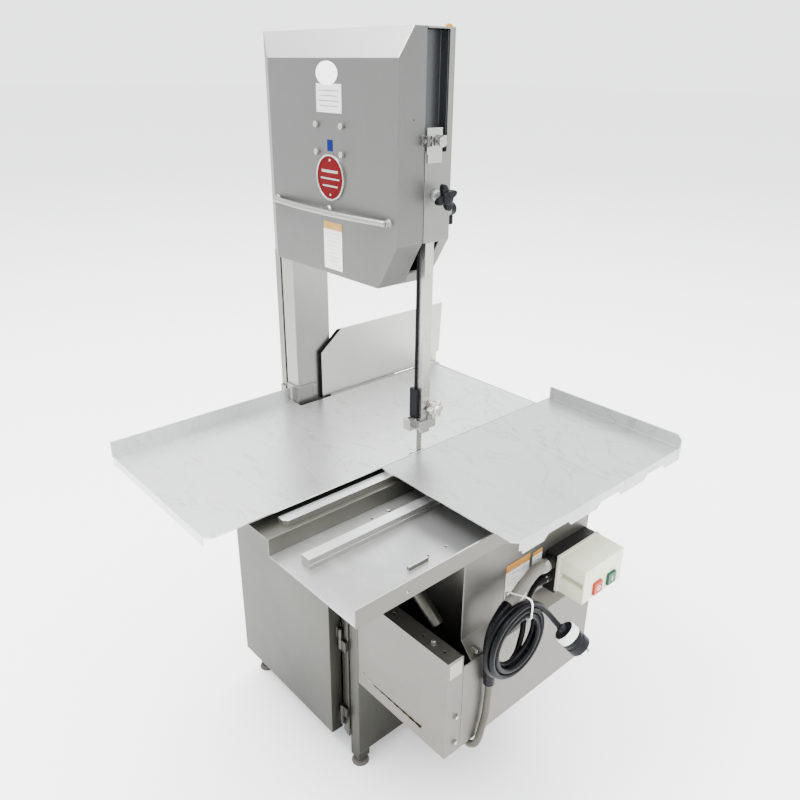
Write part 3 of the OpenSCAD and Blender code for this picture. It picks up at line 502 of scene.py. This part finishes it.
def finish_piece(thing, body, slot, material=None, smooth=False, bevel=0.0, segments=2):
    """Gives a piece its material (its slot's paint unless one is given), rounded edges and body."""
    mesh = thing.data
    work = bmesh.new()
    work.from_mesh(mesh)
    bmesh.ops.recalc_face_normals(work, faces=work.faces)
    work.to_mesh(mesh)
    work.free()
    mesh.materials.append(material or paints[slot])
    for face in mesh.polygons:
        face.use_smooth = smooth
    if bevel:
        rounder = thing.modifiers.new("rounded", "BEVEL")
        rounder.width = bevel
        rounder.segments = segments
        rounder.limit_method = "ANGLE"
        rounder.angle_limit = math.radians(35)
        rounder.harden_normals = smooth
    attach(thing, body)
    return thing


def aim(direction):
    """A turn that takes +Z to the direction."""
    return Vector(direction).to_track_quat("Z", "Y").to_matrix().to_4x4()


def lathe(name, profile, origin, direction, body, slot, material=None,
          segments=48, smooth=True, bevel=0.0):
    """Turns (radius, height) points in millimetres about a direction."""
    turn = Matrix.Translation(origin) @ aim(direction)
    verts, faces = [], []
    for r, h in profile:
        for k in range(segments):
            a = 2 * math.pi * k / segments
            verts.append(turn @ Vector((mm(r) * math.cos(a), mm(r) * math.sin(a), mm(h))))
    for i in range(len(profile) - 1):
        for k in range(segments):
            a, b = i * segments + k, i * segments + (k + 1) % segments
            faces.append((a, b, b + segments, a + segments))
    faces.append(tuple(reversed(range(segments))))
    last = (len(profile) - 1) * segments
    faces.append(tuple(range(last, last + segments)))
    thing = new_mesh(name, verts, faces)
    finish_piece(thing, body, slot, material, False, bevel)
    if smooth:
        thing.data.shade_smooth()
        thing.data.set_sharp_from_angle(angle=math.radians(38))
    return thing


def prism(name, outline, height, place, body, slot, material=None, bevel=0.0, segments=3):
    """Raises a flat outline, in millimetres, along the local Z of place."""
    n = len(outline)
    verts = [place @ Vector((mm(x), mm(y), mm(h))) for h in (0, height) for x, y in outline]
    faces = [(k, (k + 1) % n, (k + 1) % n + n, k + n) for k in range(n)]
    faces += [tuple(reversed(range(n))), tuple(range(n, 2 * n))]
    thing = new_mesh(name, verts, faces)
    return finish_piece(thing, body, slot, material, False, bevel, segments)


def rounded_rectangle(width, height, radius, steps=6):
    points = []
    for corner, (sx, sy) in enumerate(((1, 1), (-1, 1), (-1, -1), (1, -1))):
        cx, cy = sx * (width / 2 - radius), sy * (height / 2 - radius)
        for k in range(steps + 1):
            a = math.pi / 2 * (corner + k / steps)
            points.append((cx + radius * math.cos(a), cy + radius * math.sin(a)))
    return points


def smooth_path(points, step):
    """Points about step apart on a Catmull-Rom curve through the given ones, all in metres."""
    points = [Vector(p) for p in points]
    ends = [2 * points[0] - points[1]] + points + [2 * points[-1] - points[-2]]
    route = []
    for i in range(1, len(ends) - 2):
        a, b, c, d = ends[i - 1], ends[i], ends[i + 1], ends[i + 2]
        count = max(1, round((c - b).length / step))
        for k in range(count):
            t = k / count
            route.append(0.5 * (2 * b + (c - a) * t + (2 * a - 5 * b + 4 * c - d) * t * t
                                + (3 * b - a - 3 * c + d) * t ** 3))
    return route + [points[-1]]


def sweep(name, route, radius_at, body, slot, material=None, sides=20):
    """A tube along a route, in metres; radius_at gives the radius from the length travelled."""
    verts, faces = [], []
    travelled = 0.0
    side = Vector((1, 0.3, 0.1)).normalized()
    for i, point in enumerate(route):
        ahead = route[min(i + 1, len(route) - 1)] - route[max(i - 1, 0)]
        ahead.normalize()
        if i:
            travelled += (point - route[i - 1]).length
        side = (side - ahead * side.dot(ahead)).normalized()
        other = ahead.cross(side)
        r = radius_at(travelled)
        for k in range(sides):
            a = 2 * math.pi * k / sides
            verts.append(point + r * (math.cos(a) * side + math.sin(a) * other))
    for i in range(len(route) - 1):
        for k in range(sides):
            a, b = i * sides + k, i * sides + (k + 1) % sides
            faces.append((a, b, b + sides, a + sides))
    faces.append(tuple(reversed(range(sides))))
    last = (len(route) - 1) * sides
    faces.append(tuple(range(last, last + sides)))
    return finish_piece(new_mesh(name, verts, faces), body, slot, material, True)


# ---- cord, plug and conduit ----------------------------------------------------------------

CORD_D = 12
LEAD = ((277, 125, -246), (277, 113, -246), (278, 101, -246), (281, 88, -246), (286, 74, -247),
        (292, 60, -249), (299, 46.5, -254.4), (306, 31.9, -266.6), (310, 24.2, -278.8), (313, 20, -290),
        (315, 16.5, -301), (316.5, 11.5, -313), (317.5, 6.5, -324.7), (318.5, 1.5, -336.8),
        (319, -6.4, -347.2), (319, -16.8, -355.1), (319, -28.9, -360.1), (320, -41.8, -361.8))
TAIL = ((344.5, 38.5, -234), (346, 46, -244), (349, 53.5, -254), (353, 60, -264), (359, 66, -275),
        (366, 71.5, -285))
RELIEF_AT = (277, 128, -246)
COIL_CENTRE = (-33, -279)
COIL_TURNS = 4.6
COIL_START = 255
COIL_OUTER, COIL_INNER = 84, 56
COIL_BACK, COIL_FRONT = 331.2, 344
LEAD_IN = 8.2
PLUG_AT = (366, 71.5, -285)
PLUG_DIRECTION = (0.6, 0.42, -0.68)
PRONG_AT = (11, 65)


def ease(t):
    t = min(1.0, max(0.0, t))
    return t * t * (3 - 2 * t)


def coil_points():
    """A flat spiral in, a step forward, and a flat spiral out, turning clockwise from the bottom."""
    points = []
    steps = round(COIL_TURNS * 36)
    for k in range(steps + 1):
        u = k / steps
        angle = math.radians(COIL_START - 360 * COIL_TURNS * u)
        inward = 1 - abs(2 * u - 1)
        r = COIL_OUTER - (COIL_OUTER - COIL_INNER) * min(1.0, inward * 1.02)
        x = COIL_BACK + (COIL_FRONT - COIL_BACK) * ease((u - 0.47) / 0.06)
        x -= LEAD_IN * (1 - ease(u / 0.03))
        y, z = COIL_CENTRE[0] + r * math.cos(angle), COIL_CENTRE[1] + r * math.sin(angle)
        points.append((x, y, z))
    return points


def add_plug():
    """A black three-pin plug with a pale clamp end, ribbed grip and metal prongs."""
    direction = Vector(PLUG_DIRECTION).normalized()
    origin = at(*PLUG_AT)
    body = [(7, 0), (8.5, 2), (9.8, 11), (21.5, 12), (23.2, 14), (23.2, 24), (24, 26), (25, 29),
            (25, 40), (23.8, 41.5), (23.8, 46), (25, 47.5), (25, 62), (23.8, 65.4), (21, 66)]
    shell = lathe("plug_shell", body, origin, direction, "base", "plug_black", segments=64)
    sleeve = [(23.3, 13), (24.4, 14), (24.8, 17), (24.8, 27), (25.3, 31), (24.6, 33), (23.6, 32)]
    white = label_paper("plug_white", (0.72, 0.72, 0.70)).mat
    collar = lathe("plug_collar", sleeve, origin, direction, "base", "plug_black", white, segments=64)
    prongs = []
    for k in range(3):
        a = 2 * math.pi * k / 3
        place = Matrix.Translation(origin) @ aim(direction) @ Matrix.Rotation(a, 4, "Z")
        place @= Matrix.Translation((mm(PRONG_AT[0]), 0, mm(PRONG_AT[1])))
        outline = [(-1, -3), (1, -3), (1, 3), (-1, 3)]
        prongs.append(prism(f"prong_{k}", outline, 15, place, "base", "steel_bright", bevel=0.0004))
    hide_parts("plug")
    return [shell, collar, *prongs]


def add_cord():
    route = [at(*p) for p in (*LEAD, *coil_points(), *TAIL)]
    dense = smooth_path(route, 0.006)
    data = bpy.data.curves.new("power_cord", "CURVE")
    data.dimensions = "3D"
    spline = data.splines.new("POLY")
    spline.points.add(len(dense) - 1)
    for point, place in zip(spline.points, dense):
        point.co = (*place, 1)
    data.bevel_depth = mm(CORD_D / 2)
    data.bevel_resolution = 6
    data.use_fill_caps = True
    cord = bpy.data.objects.new("power_cord", data)
    bpy.context.scene.collection.objects.link(cord)
    data.materials.append(paints["cord_black"])
    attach(cord, "base")
    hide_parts("cord", "cord_coil")
    on_it = add_plug()
    relief = [(9.5, 0), (9.5, 5), (8.7, 6), (8.5, 12), (7.9, 13), (7.7, 20), (7.2, 21), (6.8, 27),
              (6.1, 28)]
    on_it.append(lathe("cord_relief", relief, at(*RELIEF_AT), (0, -1, 0), "base", "cord_black"))


CONDUIT = ((278, 125, -208), (280, 104, -203), (283, 80, -201), (288, 56, -204), (292, 32, -209),
           (297, 10, -214), (301, -12, -217), (305, -34, -220), (308, -54, -230), (308, -68, -248),
           (308, -76, -272), (308, -78, -300), (308, -76, -330), (307, -72, -360), (306, -69, -390))
DROP = ((306, -70, -382), (305, -68, -420), (304, -68, -450), (304, -71, -480), (303, -76, -505),
        (303, -81, -522), (302.5, -85, -536), (300, -89, -549), (294, -92, -558), (285, -95, -561),
        (276, -96, -556), (271, -97, -547), (270, -97, -537))
RIBBED_LENGTH = 0.155
RIB_PITCH, SLEEVE_PITCH = 0.0052, 0.008
DROP_RADIUS = 0.0078


def add_conduit():
    """Ribbed pale conduit from the switch, a black sleeve behind the coil and a thin grey tube."""
    route = smooth_path([at(*p) for p in CONDUIT], 0.0013)

    def ribbed(travelled):
        return 0.0112 + 0.0017 * abs(math.sin(math.pi * travelled / RIB_PITCH))

    def sleeve(travelled):
        return 0.0122 + 0.0005 * abs(math.sin(math.pi * travelled / SLEEVE_PITCH))

    split = 0
    travelled = 0.0
    while travelled < RIBBED_LENGTH:
        split += 1
        travelled += (route[split] - route[split - 1]).length
    pale = plastic("conduit_pale", (0.17, 0.165, 0.145), 0.4, 500, 0.0004, 0.6, 0.1).mat
    upper = sweep("conduit_ribbed", route[:split + 1], ribbed, "base", "conduit_grey", pale)
    sweep("conduit_sleeve", route[split:], sleeve, "base", "conduit_grey", paints["cord_black"])
    tube = smooth_path([at(*p) for p in DROP], 0.004)
    sweep("conduit_drop", tube, lambda t: DROP_RADIUS, "base", "conduit_grey")
    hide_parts("conduit")
    fitting = [(15.2, 0), (15.2, 8), (14.3, 9), (14.3, 14), (13.5, 15), (13.5, 20), (12.4, 21)]
    lathe("conduit_fitting", fitting, at(278, 127, -208), (0.05, -1, 0.1), "base", "steel_bright",
          segments=32)
    gland = [(8, 0), (11, 0.5), (11, 6), (9.8, 7)]
    lathe("cord_gland", gland, at(277, 133, -246), (0, -1, 0), "base", "steel_bright",
          segments=6, smooth=False, bevel=0.0008)


def add_tie():
    """A thin white tie pulled round the conduit and the top of the coil."""
    ring = ((286.2, -203), (300, -199), (330, -188.5), (346, -187), (352, -196), (352.2, -215),
            (351, -231), (340, -236), (320, -234.5), (300, -233.5), (288, -229), (285.6, -216))
    centre = [Vector((x, 0, z)) for x, z in ring]
    loop = smooth_path([*centre[-2:], *centre, *centre[:2]], 3)
    verts, faces = [], []
    for i, point in enumerate(loop):
        ahead = (loop[min(i + 1, len(loop) - 1)] - loop[max(i - 1, 0)]).normalized()
        out = Vector((-ahead.z, 0, ahead.x))
        for y, side in ((-11.6, -0.6), (-7.4, -0.6), (-7.4, 0.6), (-11.6, 0.6)):
            verts.append(at(point.x + out.x * side, y, point.z + out.z * side))
    for i in range(len(loop) - 1):
        for k in range(4):
            a, b = 4 * i, 4 * (i + 1)
            faces.append((a + k, a + (k + 1) % 4, b + (k + 1) % 4, b + k))
    faces += [(0, 3, 2, 1), tuple(range(len(verts) - 4, len(verts)))]
    band = finish_piece(new_mesh("tie_band", verts, faces), "base", "tie_white")
    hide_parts("cable_tie")


# ---- blade ---------------------------------------------------------------------------------

TOOTH = 8.0
TOOTH_DEPTH = 3.2
BLADE_W = 16.0
WHEEL_X, UPPER_Z, LOWER_Z = -203.7, 604.0, -561.0


def blade_line(s, straight, arc, r):
    """Place and outward normal (x, z) at a length s round the loop, from the right run's foot."""
    loop = 2 * (straight + arc)
    s %= loop
    if s < straight:
        return (WHEEL_X + r, LOWER_Z + s), (1, 0)
    s -= straight
    if s < arc:
        a = s / r
        return (WHEEL_X + r * math.cos(a), UPPER_Z + r * math.sin(a)), (math.cos(a), math.sin(a))
    s -= arc
    if s < straight:
        return (WHEEL_X - r, UPPER_Z - s), (-1, 0)
    a = math.pi + (s - straight) / r
    return (WHEEL_X + r * math.cos(a), LOWER_Z + r * math.sin(a)), (math.cos(a), math.sin(a))


def add_blade():
    """The whole band with its hooked teeth along the front edge."""
    r = abs(WHEEL_X)
    straight, arc = UPPER_Z - LOWER_Z, math.pi * r
    count = round(2 * (straight + arc) / TOOTH)
    pitch = 2 * (straight + arc) / count
    verts, faces = [], []
    shape = ((0.0, 0.0), (0.12, 0.85), (0.35, 1.0), (0.62, 0.62), (0.94, 0.05))
    for tooth in range(count):
        for along, depth in shape:
            (x, z), (nx, nz) = blade_line((tooth + along) * pitch, straight, arc, r)
            front = BLADE_W - TOOTH_DEPTH * depth
            for side, y in ((-1, 0), (1, 0), (1, front), (-1, front)):
                thick = side * (0.4 if y == 0 else 0.38)
                verts.append(at(x + nx * thick, y, z + nz * thick))
    total = count * len(shape)
    for i in range(total):
        a, b = 4 * i, 4 * ((i + 1) % total)
        for k in range(4):
            faces.append((a + k, a + (k + 1) % 4, b + (k + 1) % 4, b + k))
    band = finish_piece(new_mesh("toothed_blade", verts, faces), "base", "blade_steel")
    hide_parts("blade")


# ---- head details --------------------------------------------------------------------------

DOOR_Y = -84
HANDLE_X = (-372, 8)
HANDLE_Z = 502
HANDLE_RADIUS = 0.0062


def add_handle():
    """A round rod bowed off the door, with flattened welded ends and a stub in the middle."""
    left, right = HANDLE_X
    satin = OWN_STEEL["door_handle"]
    middle = (left + right) / 2
    points = []
    for k in range(25):
        t = 2 * k / 24 - 1
        points.append(at(middle + t * (right - left - 14) / 2, DOOR_Y - 23 + 15.5 * t * t, HANDLE_Z))
    rod = sweep("handle_rod", smooth_path(points, 0.008), lambda s: HANDLE_RADIUS, "head_door",
                "steel_bright", satin)
    stub = [(10, 0), (7.5, 2), (6.6, 5), (6.6, 19)]
    lathe("handle_stub", stub, at(middle, DOOR_Y, HANDLE_Z), (0, -1, 0), "head_door", "steel_bright",
          satin, segments=32)
    pad = [(9, 0), (8.4, 1.5), (7, 4), (6.2, 9)]
    for x in (left + 7, right - 7):
        lathe("handle_pad", pad, at(x, DOOR_Y, HANDLE_Z), (0, -1, 0), "head_door", "steel_bright",
              satin, segments=32)
    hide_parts("door_handle")


def face_place(x, z, out=0.0):
    """Local X along +X, local Y up, local Z out of the head door's face."""
    axes = Matrix(((1, 0, 0), (0, 0, -1), (0, 1, 0))).to_4x4()
    return Matrix.Translation(at(x, DOOR_Y - out, z)) @ axes


def side_place(y, z, x, out=0.0):
    """Local X along +Y, local Y up, local Z out of a face that looks along +X."""
    axes = Matrix(((0, 0, 1), (1, 0, 0), (0, 1, 0))).to_4x4()
    return Matrix.Translation(at(x + out, y, z)) @ axes


BADGE = (-171, 566)


def add_badge():
    """A red enamel disc with a bright rim, three plain raised bars and two rivets."""
    x, z = BADGE
    disc = [(44, 0), (44, 2.6), (43, 3.4), (40.5, 3.4), (40.2, 2.6), (20, 3.2), (0.5, 3.6)]
    face = lathe("badge_disc", disc, at(x, DOOR_Y, z), (0, -1, 0), "head_door", "badge_red",
                 segments=96)
    rim = [(40.0, 1.5), (40.6, 4.2), (42.4, 5.0), (44.0, 4.4), (44.4, 0.0), (40.0, 0.0)]
    lathe("badge_rim", rim, at(x, DOOR_Y, z), (0, -1, 0), "head_door", "steel_bright", segments=96)
    for k, (width, up) in enumerate(((52, 12), (60, -2), (48, -16))):
        outline = rounded_rectangle(width, 3.0 if k else 5.0, 1.4)
        place = face_place(x, z + up, out=2.9)
        prism(f"badge_bar_{k}", outline, 0.7, place, "head_door", "steel_bright")
    rivet = [(2.6, 0), (2.4, 1.0), (1.2, 1.6), (0.3, 1.8)]
    for k, up in enumerate((33, -33)):
        lathe(f"badge_rivet_{k}", rivet, at(x, DOOR_Y - 2.6, z + up), (0, -1, 0), "head_door",
              "steel_bright", segments=20)
    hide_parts("door_badge")


def add_notice(name, place, width, height, body, header=None, thick=0.6):
    """A blank stuck-on notice with plain rules and a coloured band along its top."""
    base = (0.62, 0.62, 0.60)
    top = (place @ Vector((0, mm(height / 2 - height * 0.16), 0))).z
    paper = label_paper(name + "_film", base, header, top).mat
    rows = int(height / 11)
    for k in range(rows):
        rule = rounded_rectangle(width * (0.72 - 0.12 * (k % 3)), 1.3, 0.5)
        up = height * 0.26 - k * height * 0.66 / rows
        spot = place @ Matrix.Translation((0, mm(up), mm(thick - 0.05)))
        prism(f"{name}_rule_{k}", rule, 0.15, spot, body, "label", paints["shaft_steel"])
    return prism(name, rounded_rectangle(width, height, 2), thick, place, body, "label", paper)


PLATE = (-172.5, 710.5)
STICKER = (-177.3, 754.0)
STICKER_RADII = (33.5, 21)
BLUE_STICKER = (-172.5, 625.7)
DOOR_NOTICE = (-170, 431)
DOOR_ORANGE = (0.36, 0.17, 0.009)


def add_door_labels():
    """The blank rating plate with rules and rivets, two stickers and a notice on the head's door."""
    x, z = PLATE
    plate = prism("rating_plate", rounded_rectangle(79, 51, 1.5), 0.8, face_place(x, z), "head_door",
                  "label", bevel=0.0003)
    for k in range(4):
        rule = rounded_rectangle(64 - 9 * (k % 2), 1.6, 0.6)
        place = face_place(x, z + 13.5 - 9 * k, out=0.75)
        prism(f"rating_line_{k}", rule, 0.15, place, "head_door", "label", paints["cast_dark"])
    rivet = [(1.8, 0), (1.6, 0.6), (0.4, 1.0)]
    for k, (dx, dz) in enumerate(((-36, 22), (36, 22), (-36, -22), (36, -22))):
        lathe(f"plate_rivet_{k}", rivet, at(x + dx, DOOR_Y - 0.7, z + dz), (0, -1, 0), "head_door",
              "steel_bright", segments=16)
    white = label_paper("sticker_film", (0.80, 0.80, 0.80)).mat
    turns = [2 * math.pi * k / 64 for k in range(64)]
    oval = [(STICKER_RADII[0] * math.cos(a), STICKER_RADII[1] * math.sin(a)) for a in turns]
    prism("sticker_oval", oval, 0.9, face_place(*STICKER, out=0.1), "head_door", "label", white)
    blue = plastic("sticker_blue", (0.0001, 0.007, 0.075), 0.5, 900, 0.0003, 0.15, 0.0, 0.06).mat
    prism("sticker_small", rounded_rectangle(17, 21, 1), 0.5, face_place(*BLUE_STICKER), "head_door",
          "label", blue)
    add_notice("door_notice", face_place(*DOOR_NOTICE), 60, 96, "head_door", DOOR_ORANGE, 0.7)
    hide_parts("door_labels")


def hex_bolt(name, place, across, height, body):
    """A hexagon head with a chamfered crown, on the local Z of place."""
    r = across / math.sqrt(3)
    outline = [(r * math.cos(math.pi / 3 * k), r * math.sin(math.pi / 3 * k)) for k in range(6)]
    return prism(name, outline, height, place, body, "steel_bright", bevel=0.0007)


BOLT_X = (-212, -132)
BOLT_Z = (663, 612)


def add_door_bolts():
    bolts = [hex_bolt(f"door_bolt_{i}{k}", face_place(x, z), 11, 7, "head_door")
             for i, x in enumerate(BOLT_X) for k, z in enumerate(BOLT_Z)]
    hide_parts("door_bolts")


def lobed(count, inner, outer, sharp, steps=96):
    """An outline with rounded arms."""
    points = []
    for k in range(steps):
        a = 2 * math.pi * k / steps
        swell = (0.5 + 0.5 * math.cos(count * a)) ** sharp
        r = inner + (outer - inner) * swell
        points.append((r * math.cos(a), r * math.sin(a)))
    return points


LOCK_KNOB = (8, 547)
LOCK_KNOB_TURN = 20
STAR_KNOB = (22, 106)


def add_knobs():
    """The black four-arm lock knob on its stem, and the bright star knob of the lower guide."""
    y, z = LOCK_KNOB
    stem = [(6, 0), (6, 5), (11, 5.05), (11, 11.5), (8.5, 12), (8.5, 20), (9, 21), (9, 31), (7, 32)]
    shank = lathe("lock_stem", stem, at(20.4, y, z), (1, 0, 0), "guide_lock_knob", "steel_bright",
                  segments=40)
    place = side_place(y, z, 50) @ Matrix.Rotation(math.radians(LOCK_KNOB_TURN), 4, "Z")
    prism("lock_knob", lobed(4, 11, 26, 1.1), 12, place, "guide_lock_knob", "knob_black",
          bevel=0.0032, segments=4)
    cap = [(12, 0), (12.5, 3), (11.5, 5), (8, 5.6), (0.5, 5.8)]
    lathe("lock_knob_hub", cap, at(60, y, z), (1, 0, 0), "guide_lock_knob", "knob_black", segments=40)
    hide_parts("guide_lock_knob")
    y, z = STAR_KNOB
    star = prism("star_knob", lobed(6, 13, 19, 0.8), 13, side_place(y, z, 25.2), "guide_knob",
                 "knob_bright", bevel=0.0025, segments=4)
    hub = [(10, 0), (10, 3.5), (9, 5), (5.5, 5.4), (5.2, 6), (0.4, 6.2)]
    lathe("star_hub", hub, at(37.8, y, z), (1, 0, 0), "guide_knob", "knob_bright", segments=40)
    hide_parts("guide_knob")


def add_small_screws():
    """Screws on the guide bar, motor box, panels, tray and head door that CAD leaves plain."""
    button = [(3.2, 0), (3.0, 0.8), (1.8, 1.5), (0.3, 1.7)]
    for k, z in enumerate((150, 262, 392)):
        lathe(f"bar_screw_{k}", button, at(20, 5, z), (1, 0, 0), "guide", "steel_bright", segments=20)
    for k, z in enumerate((-510, -440)):
        hex_bolt(f"corner_bolt_{k}", side_place(-150, z, 295), 8, 2.4, "base")
    dimple = [(1.7, 0), (1.4, 0.3), (0.2, 0.3)]
    lathe("door_dimple", dimple, at(24.9, -47, 681), (1, 0, 0), "head_door", "cast_dark",
          paints["knob_black"], segments=16)
    hex_bolt("seam_bolt", side_place(-94, -303, 290.8), 9, 3, "base")
    for k, x in enumerate((70, 230)):
        hex_bolt(f"flange_bolt_{k}", Matrix.Translation(at(x, -158, -283)), 9, 4, "base")
    for k, y in enumerate((-142, 60)):
        hex_bolt(f"tray_bolt_{k}", Matrix.Translation(at(71, y, -56)), 8, 2, "base")
    rivet = [(3.6, 0), (3.4, 0.8), (1.8, 1.4), (0.3, 1.6)]
    for k, (x, z) in enumerate(((30, -500), (52, -505))):
        lathe(f"box_rivet_{k}", rivet, at(x, -178, z), (0, -1, 0), "base", "cast_dark", segments=20)


WELD_X = (66, 222)
WELD_Y, WELD_Z = -178.2, -507
WELD_STEPS = 80


def add_weld():
    """A rough dark bead along the motor box, a little above its bottom edge."""
    burnt = rubber("weld_burnt", (0.014, 0.010, 0.006), 0.85).mat
    start, span = WELD_X[0], WELD_X[1] - WELD_X[0]
    length = mm(span)
    route = [at(start + k * span / WELD_STEPS, WELD_Y, WELD_Z) for k in range(WELD_STEPS + 1)]

    def lumps(travelled):
        u = travelled / length
        swell = 0.5 + 0.3 * math.sin(41 * u) + 0.2 * math.sin(97 * u + 1)
        return (0.0013 + 0.0022 * swell) * (0.35 + 0.65 * u)

    sweep("weld_bead", route, lumps, "base", "steel_body", burnt, sides=12)


PANEL_X = 262
PANEL_ORANGE = (0.36, 0.15, 0.008)


def add_side_notices():
    """Two blank notices on the upper side panel and a worn label low on the motor box."""
    big, small = side_place(51, -223.5, PANEL_X, 0.5), side_place(114.5, -204, PANEL_X, 0.5)
    add_notice("panel_notice", big, 75, 116, "base", PANEL_ORANGE, 0.7)
    add_notice("panel_notice_small", small, 32, 65, "base", PANEL_ORANGE, 0.7)
    worn = label_paper("worn_label", (0.30, 0.29, 0.25)).mat
    prism("corner_label", rounded_rectangle(34, 36, 1.5), 0.5, side_place(-156, -312, 292), "base",
          "label", worn)


BUTTON_W, BUTTON_Z = 30, -249
BUTTON_BACK, BUTTON_FACE = 354, 370.9
STOP_Y, START_Y = 196, 247


def add_buttons():
    """Moulded caps with raised marks: a bar on the start button and a ring on the stop button."""
    outline = rounded_rectangle(BUTTON_W - 0.4, BUTTON_W - 0.4, 3)
    for name, y in (("stop", STOP_Y), ("start", START_Y)):
        cap = prism(f"{name}_cap", outline, 17, side_place(y, BUTTON_Z, BUTTON_BACK),
                    f"{name}_button", f"button_{name}", bevel=0.0016)
        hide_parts(f"{name}_button")
    ring = [(4.4, 0), (4.4, 0.5), (6.2, 0.5), (6.2, 0)]
    lathe("stop_mark", ring, at(BUTTON_FACE, STOP_Y, BUTTON_Z), (1, 0, 0), "stop_button", "tie_white",
          segments=40)
    bar = rounded_rectangle(2, 11, 0.9)
    prism("start_mark", bar, 0.5, side_place(START_Y, BUTTON_Z, BUTTON_FACE), "start_button",
          "tie_white")


def folded_strip(name, outline, heights, material, bevel):
    """Sheet folded to an outline in X and Y, standing between two heights."""
    verts = [at(x, y, z) for z in heights for x, y in outline]
    n = len(outline)
    faces = [(k, (k + 1) % n, (k + 1) % n + n, k + n) for k in range(n)]
    faces += [tuple(reversed(range(n))), tuple(range(n, 2 * n))]
    finish_piece(new_mesh(name, verts, faces), "base", "steel_body", material, bevel=bevel)


def add_channel():
    """The folded channel behind the head's side slot, between the blade and the raised guide bar."""
    outline = [(1.4, -1), (2.8, -1), (2.8, 35.2), (22, 35.2), (22, 36.6), (1.4, 36.6)]
    # painted shade: the channel's steel is given a dark bluish colour for the shade inside it
    dark = brushed("channel_steel", (0.075, 0.08, 0.082), 0.34, stain=0.5).mat
    folded_strip("bar_channel", outline, (625, 827), dark, 0.0006)


def add_jamb():
    """A folded strip on the leg behind the lower door's hinge."""
    outline = [(-47, -179.6), (-36, -179.6), (-36, -182.4), (-22, -182.4), (-22, -178.2), (-47, -178.2)]
    folded_strip("door_jamb", outline, (-736, -76), CABINET_STEEL, 0.0005)


add_camera()
paint_frame()
add_stage()
add_cord()
add_conduit()
add_tie()
add_blade()
add_handle()
add_badge()
add_door_labels()
add_door_bolts()
add_knobs()
add_small_screws()
add_weld()
add_side_notices()
add_buttons()
add_channel()
add_jamb()
